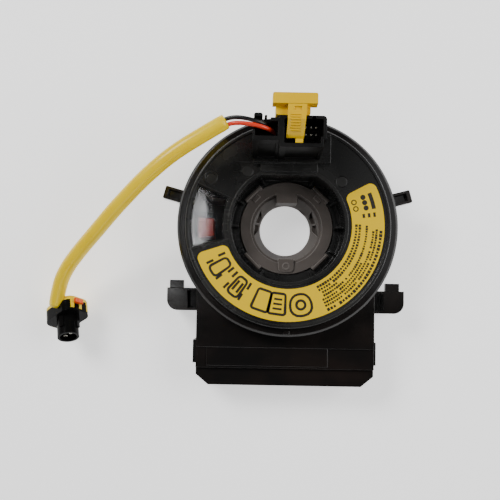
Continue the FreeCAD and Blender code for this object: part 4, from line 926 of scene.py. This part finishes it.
    def lay_rows(self, mesh: bmesh.types.BMesh) -> None:
        """Print every row of bars with the node tree.

        Args:
            mesh: The mesh that takes the bars.
        """
        tree = self.row_tree()
        inputs = [item for item in tree.interface.items_tree if item.in_out == "INPUT"]
        sockets = {item.name: item.identifier for item in inputs}
        for number, row in enumerate(self.rows):
            holder = bpy.data.objects.new("printed_row", bpy.data.meshes.new("printed_row"))
            bpy.context.scene.collection.objects.link(holder)
            layer = holder.modifiers.new("printed_row", "NODES")
            layer.node_group = tree
            values = {
                "Radius": row.radius, "Start": math.radians(self.row_start), "End": math.radians(row.end),
                "Height": row.height, "Pitch": self.pitch * row.height, "Share": self.share,
                "Ink": INK, "Level": FILM_TOP + INK / 2, "Seed": number,
            }
            for name, value in values.items():
                layer[sockets[name]] = value
            evaluated = holder.evaluated_get(bpy.context.evaluated_depsgraph_get())
            bars = bpy.data.meshes.new_from_object(evaluated)
            mesh.from_mesh(bars)
            bpy.data.objects.remove(holder)
            bpy.data.meshes.remove(bars)

    def build(self) -> None:
        """Dress the film and print it."""
        dress(LABEL_FILM, "arc_label")
        for name, shapes in (("label_big_marks", BIG_MARKS), ("label_small_marks", SMALL_MARKS)):
            mesh = bmesh.new()
            for shape in shapes:
                self.plate(mesh, *shape.outlines())
            finished(name, mesh, LABEL_INK, Body.ROTOR)
        mesh = bmesh.new()
        self.lay_rows(mesh)
        finished("label_rows", mesh, LABEL_INK, Body.ROTOR)


@dataclass
class AirbagLead:
    """The airbag lead: a soft sleeve round two wires, which run from the connector block to the plug.

    Attributes:
        sleeve_width: The sleeve's outer diameter, in metres.
        sleeve_wall: The thickness of its wall, in metres.
        lip_share: How much of the wall its ends are rounded by.
        wire_width: A wire's diameter, in metres.
        wire_side: The step from the sleeve's middle to the red wire, in metres.
        sleeve_length: The sleeve's real length, in metres; not used.
        wire_length: The real length of each wire, in metres; not used.
        sleeve_route: Control points of the sleeve's line.
        red_route: Control points of the red wire before the sleeve.
        black_route: Control points of the black wire before the sleeve.
    """

    sleeve_width: float = 0.0070
    sleeve_wall: float = 0.0006
    lip_share: float = 0.3
    wire_width: float = 0.0019
    wire_side: Place = (0.0009, -0.0010, 0.0)
    sleeve_length: float = 0.1252
    wire_length: float = 0.1510
    sleeve_route: tuple[Place, ...] = (
        (-0.0291, 0.0428, 0.0515), (-0.0414, 0.0352, 0.0518), (-0.0529, 0.0278, 0.0504),
        (-0.0637, 0.0190, 0.0470), (-0.0714, 0.0119, 0.0432), (-0.0795, 0.0042, 0.0388),
        (-0.0874, -0.0041, 0.0340), (-0.0957, -0.0123, 0.0284), (-0.1034, -0.0209, 0.0232),
        (-0.1082, -0.0294, 0.0186), (-0.1105, -0.0390, 0.0142),
    )
    red_route: tuple[Place, ...] = (
        (-0.0075, 0.0394, 0.0448), (-0.0086, 0.0396, 0.0496), (-0.0128, 0.0404, 0.0529),
        (-0.0182, 0.0415, 0.0534), (-0.0234, 0.0421, 0.0526),
    )
    black_route: tuple[Place, ...] = (
        (-0.0092, 0.0412, 0.0448), (-0.0103, 0.0416, 0.0496), (-0.0144, 0.0426, 0.0529),
        (-0.0196, 0.0439, 0.0534), (-0.0248, 0.0447, 0.0526),
    )

    def inside(self, side: float) -> tuple[Place, ...]:
        """Give a wire's points inside the sleeve, on the red wire's side for 1 and across for -1."""
        shift = Vector(self.wire_side) * side
        return tuple(tuple(Vector(point) + shift) for point in self.sleeve_route)

    @staticmethod
    def centreline(route: Sequence[Place]) -> list[Vector]:
        """Read the points of the smooth line that a route's control points give.

        Args:
            route: The control points.

        Returns:
            Points along the line.
        """
        curve = bpy.data.curves.new("route", "CURVE")
        curve.dimensions = "3D"
        spline = curve.splines.new("NURBS")
        spline.points.add(len(route) - 1)
        for point, place in zip(spline.points, route):
            point.co = (*place, 1.0)
        spline.order_u = 3
        spline.use_endpoint_u = True
        curve.resolution_u = ROUTE_STEPS
        holder = bpy.data.objects.new("route", curve)
        bpy.context.scene.collection.objects.link(holder)
        evaluated = holder.evaluated_get(bpy.context.evaluated_depsgraph_get())
        line = bpy.data.meshes.new_from_object(evaluated)
        points = [vertex.co.copy() for vertex in line.vertices]
        bpy.data.objects.remove(holder)
        bpy.data.curves.remove(curve)
        bpy.data.meshes.remove(line)
        return points

    @staticmethod
    def rings(mesh: bmesh.types.BMesh, line: Sequence[Vector], radii: Sequence[float],
              sides: int) -> list[list[bmesh.types.BMVert]]:
        """Set rings of points square to a line, turned as little as they can from one to the next.

        Args:
            mesh: The mesh that takes the points.
            line: Points along the line.
            radii: The ring's radius at each point.
            sides: Points in one ring.

        Returns:
            The rings.
        """
        across = Vector((0.0, 0.0, 1.0))
        made = []
        for index, (middle, radius) in enumerate(zip(line, radii)):
            before = line[max(index - 1, 0)]
            after = line[min(index + 1, len(line) - 1)]
            ahead = (after - before).normalized()
            across = (across - ahead * across.dot(ahead)).normalized()
            beside = ahead.cross(across)
            ring = []
            for step in range(sides):
                turn = 2.0 * math.pi * step / sides
                place = middle + (across * math.cos(turn) + beside * math.sin(turn)) * radius
                ring.append(mesh.verts.new(place))
            made.append(ring)
        return made

    @staticmethod
    def skin(mesh: bmesh.types.BMesh, rings: Sequence[Sequence[bmesh.types.BMVert]]) -> None:
        """Join each ring to the next with faces.

        Args:
            mesh: The mesh that takes the faces.
            rings: The rings, in order.
        """
        for first, second in zip(rings, rings[1:]):
            count = len(first)
            for step in range(count):
                after = (step + 1) % count
                face = mesh.faces.new((first[step], first[after], second[after], second[step]))
                face.smooth = True

    def wire(self, name: str, line: Sequence[Vector], finish: Finish) -> bpy.types.Object:
        """Make one round wire with rounded ends.

        Args:
            name: The piece's name.
            line: Points along it.
            finish: Its finish.

        Returns:
            The piece.
        """
        mesh = bmesh.new()
        rings = self.rings(mesh, line, [self.wire_width / 2] * len(line), WIRE_SIDES)
        self.skin(mesh, rings)
        mesh.faces.new(rings[0])
        mesh.faces.new(rings[-1])
        return finished(name, mesh, finish, Body.ROTOR)

    def sleeve(self, line: Sequence[Vector]) -> bpy.types.Object:
        """Make the hollow sleeve, with a rounded lip at each end.

        Args:
            line: Points along its middle.

        Returns:
            The piece.
        """
        outer = self.sleeve_width / 2
        inner = outer - self.sleeve_wall
        lip = outer - self.sleeve_wall * self.lip_share
        mesh = bmesh.new()
        radii = [lip, *[outer] * (len(line) - 2), lip]
        skin = self.rings(mesh, line, radii, SLEEVE_SIDES)
        lining = self.rings(mesh, line, [inner] * len(line), SLEEVE_SIDES)
        self.skin(mesh, skin)
        self.skin(mesh, lining)
        self.skin(mesh, [skin[0], lining[0]])
        self.skin(mesh, [skin[-1], lining[-1]])
        return finished("lead_sleeving", mesh, SLEEVING, Body.ROTOR)

    def build(self) -> None:
        """Lay the sleeve and the wires, and dress the plug."""
        dress(BLACK_PLUG, "plug_body")
        dress(YELLOW_PALE, "plug_cover")
        dress(ORANGE_GLOSS, "plug_lock")

        sleeve_line = self.centreline(self.sleeve_route)
        sleeve = self.sleeve(sleeve_line)
        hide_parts("lead_sleeve")

        red_line = self.centreline(self.red_route + self.inside(1.0))
        red = self.wire("lead_red_wire", red_line, RED_COVER)
        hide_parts("red_wire")

        black_line = self.centreline(self.black_route + self.inside(-1.0))
        black = self.wire("lead_black_wire", black_line, BLACK_COVER)
        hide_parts("black_wire")


@dataclass(frozen=True)
class SoftBox:
    """One soft light.

    Attributes:
        name: Its name.
        place: Where it hangs, in metres.
        size: Its width and height, in metres.
        watts: Its power.
        aim: The point that it faces.
        oval: Whether its face is an ellipse.
    """

    name: str
    place: Place
    size: tuple[float, float]
    watts: float
    aim: Place = (0.0, 0.0, 0.0)
    oval: bool = False

    def hang(self) -> None:
        """Put the light in the scene."""
        data = bpy.data.lights.new(self.name, "AREA")
        data.shape = "ELLIPSE" if self.oval else "RECTANGLE"
        data.size, data.size_y = self.size
        data.energy = self.watts
        lamp = bpy.data.objects.new(self.name, data)
        lamp.location = self.place
        ahead = Vector(self.aim) - Vector(self.place)
        lamp.rotation_euler = ahead.to_track_quat("-Z", "Y").to_euler()
        bpy.context.scene.collection.objects.link(lamp)


@dataclass
class Studio:
    """The pale floor, the soft lights and the camera.

    Attributes:
        lights: Three soft lights for the whole part, and three that mirror in its face and its ears.
        camera_place: Where the camera stands, in metres.
        focal_px: Its focal length, in pixels of the photograph.
        frame_px: The side of the square photograph, in pixels.
        sensor_mm: The sensor's width.
        drop_px: How far the straight-down point lies under the middle of the frame.
        roll: The camera's roll, in degrees.
        air: The strength of the even light from all round.
        backdrop: The strength of the pale backdrop, which only the camera sees.
    """

    lights: tuple[SoftBox, ...] = (
        SoftBox("key_box", (-0.60, 0.50, 0.75), (0.4, 0.4), 9.0),
        SoftBox("fill_box", (0.75, 0.15, 0.55), (0.7, 0.7), 7.0),
        SoftBox("front_box", (0.0, -0.85, 0.55), (0.6, 0.25), 1.6),
        SoftBox("right_panel", (0.270, 0.150, 1.2), (0.20, 0.34), 0.16, (0.270, 0.150, 0.0), True),
        SoftBox("top_strip", (-0.131, 0.122, 1.2), (0.036, 0.150), 0.095, (-0.131, 0.122, 0.0), True),
        SoftBox("ear_strip", (-0.191, -0.040, 1.2), (0.030, 0.060), 0.045, (-0.191, -0.040, 0.0)),
    )
    camera_place: Place = (-0.017373, -0.032536, 0.343860)
    focal_px: float = 680.0
    frame_px: float = 500.0
    sensor_mm: float = 36.0
    drop_px: float = 45.0
    roll: float = 1.05
    air: float = 0.06
    backdrop: float = 1.35

    def camera(self) -> None:
        """Set the camera where the photograph was taken from."""
        pitch = math.atan(self.drop_px / self.focal_px)
        turn = math.radians(self.roll)
        ahead = Vector((0.0, math.sin(pitch), -math.cos(pitch)))
        above = Vector((0.0, math.cos(pitch), math.sin(pitch)))
        side = Vector((1.0, 0.0, 0.0))
        right = side * math.cos(turn) + above * math.sin(turn)
        up = above * math.cos(turn) - side * math.sin(turn)
        data = bpy.data.cameras.new("studio_camera")
        data.sensor_width = self.sensor_mm
        data.lens = self.focal_px * self.sensor_mm / self.frame_px
        camera = bpy.data.objects.new("studio_camera", data)
        matrix = Matrix((right, up, -ahead)).transposed().to_4x4()
        matrix.translation = Vector(self.camera_place)
        camera.matrix_world = matrix
        bpy.context.scene.collection.objects.link(camera)
        bpy.context.scene.camera = camera

    def floor(self) -> None:
        """Lay the pale floor that the object rests on."""
        mesh = bmesh.new()
        bmesh.ops.create_grid(mesh, x_segments=1, y_segments=1, size=FLOOR_SIZE / 2)
        data = bpy.data.meshes.new("studio_floor")
        mesh.to_mesh(data)
        mesh.free()
        data.materials.append(PALE_FLOOR.material())
        floor = bpy.data.objects.new("studio_floor", data)
        bpy.context.scene.collection.objects.link(floor)

    def surroundings(self) -> None:
        """Set the even light from all round, and the backdrop."""
        world = bpy.data.worlds.new("studio_air")
        world.use_nodes = True
        background = world.node_tree.nodes["Background"]
        background.inputs["Color"].default_value = (1.0, 1.0, 1.0, 1.0)
        sheet = NodeSheet(world.node_tree)
        seen = Signal(sheet, sheet.node("ShaderNodeLightPath", {}, {}).outputs["Is Camera Ray"])
        sheet.feed(background.inputs["Strength"], seen * (self.backdrop - self.air) + self.air)
        bpy.context.scene.world = world

    def build(self) -> None:
        """Set up the whole studio."""
        self.surroundings()
        self.floor()
        for light in self.lights:
            light.hang()
        self.camera()


def main() -> None:
    """Build every part of the scene in order."""
    logging.basicConfig(level=logging.INFO, format="%(name)s: %(message)s")
    Housing().build()
    RotorFace().build()
    ArcLabel().build()
    AirbagLead().build()
    Studio().build()


if __name__ == "__main__":
    main()
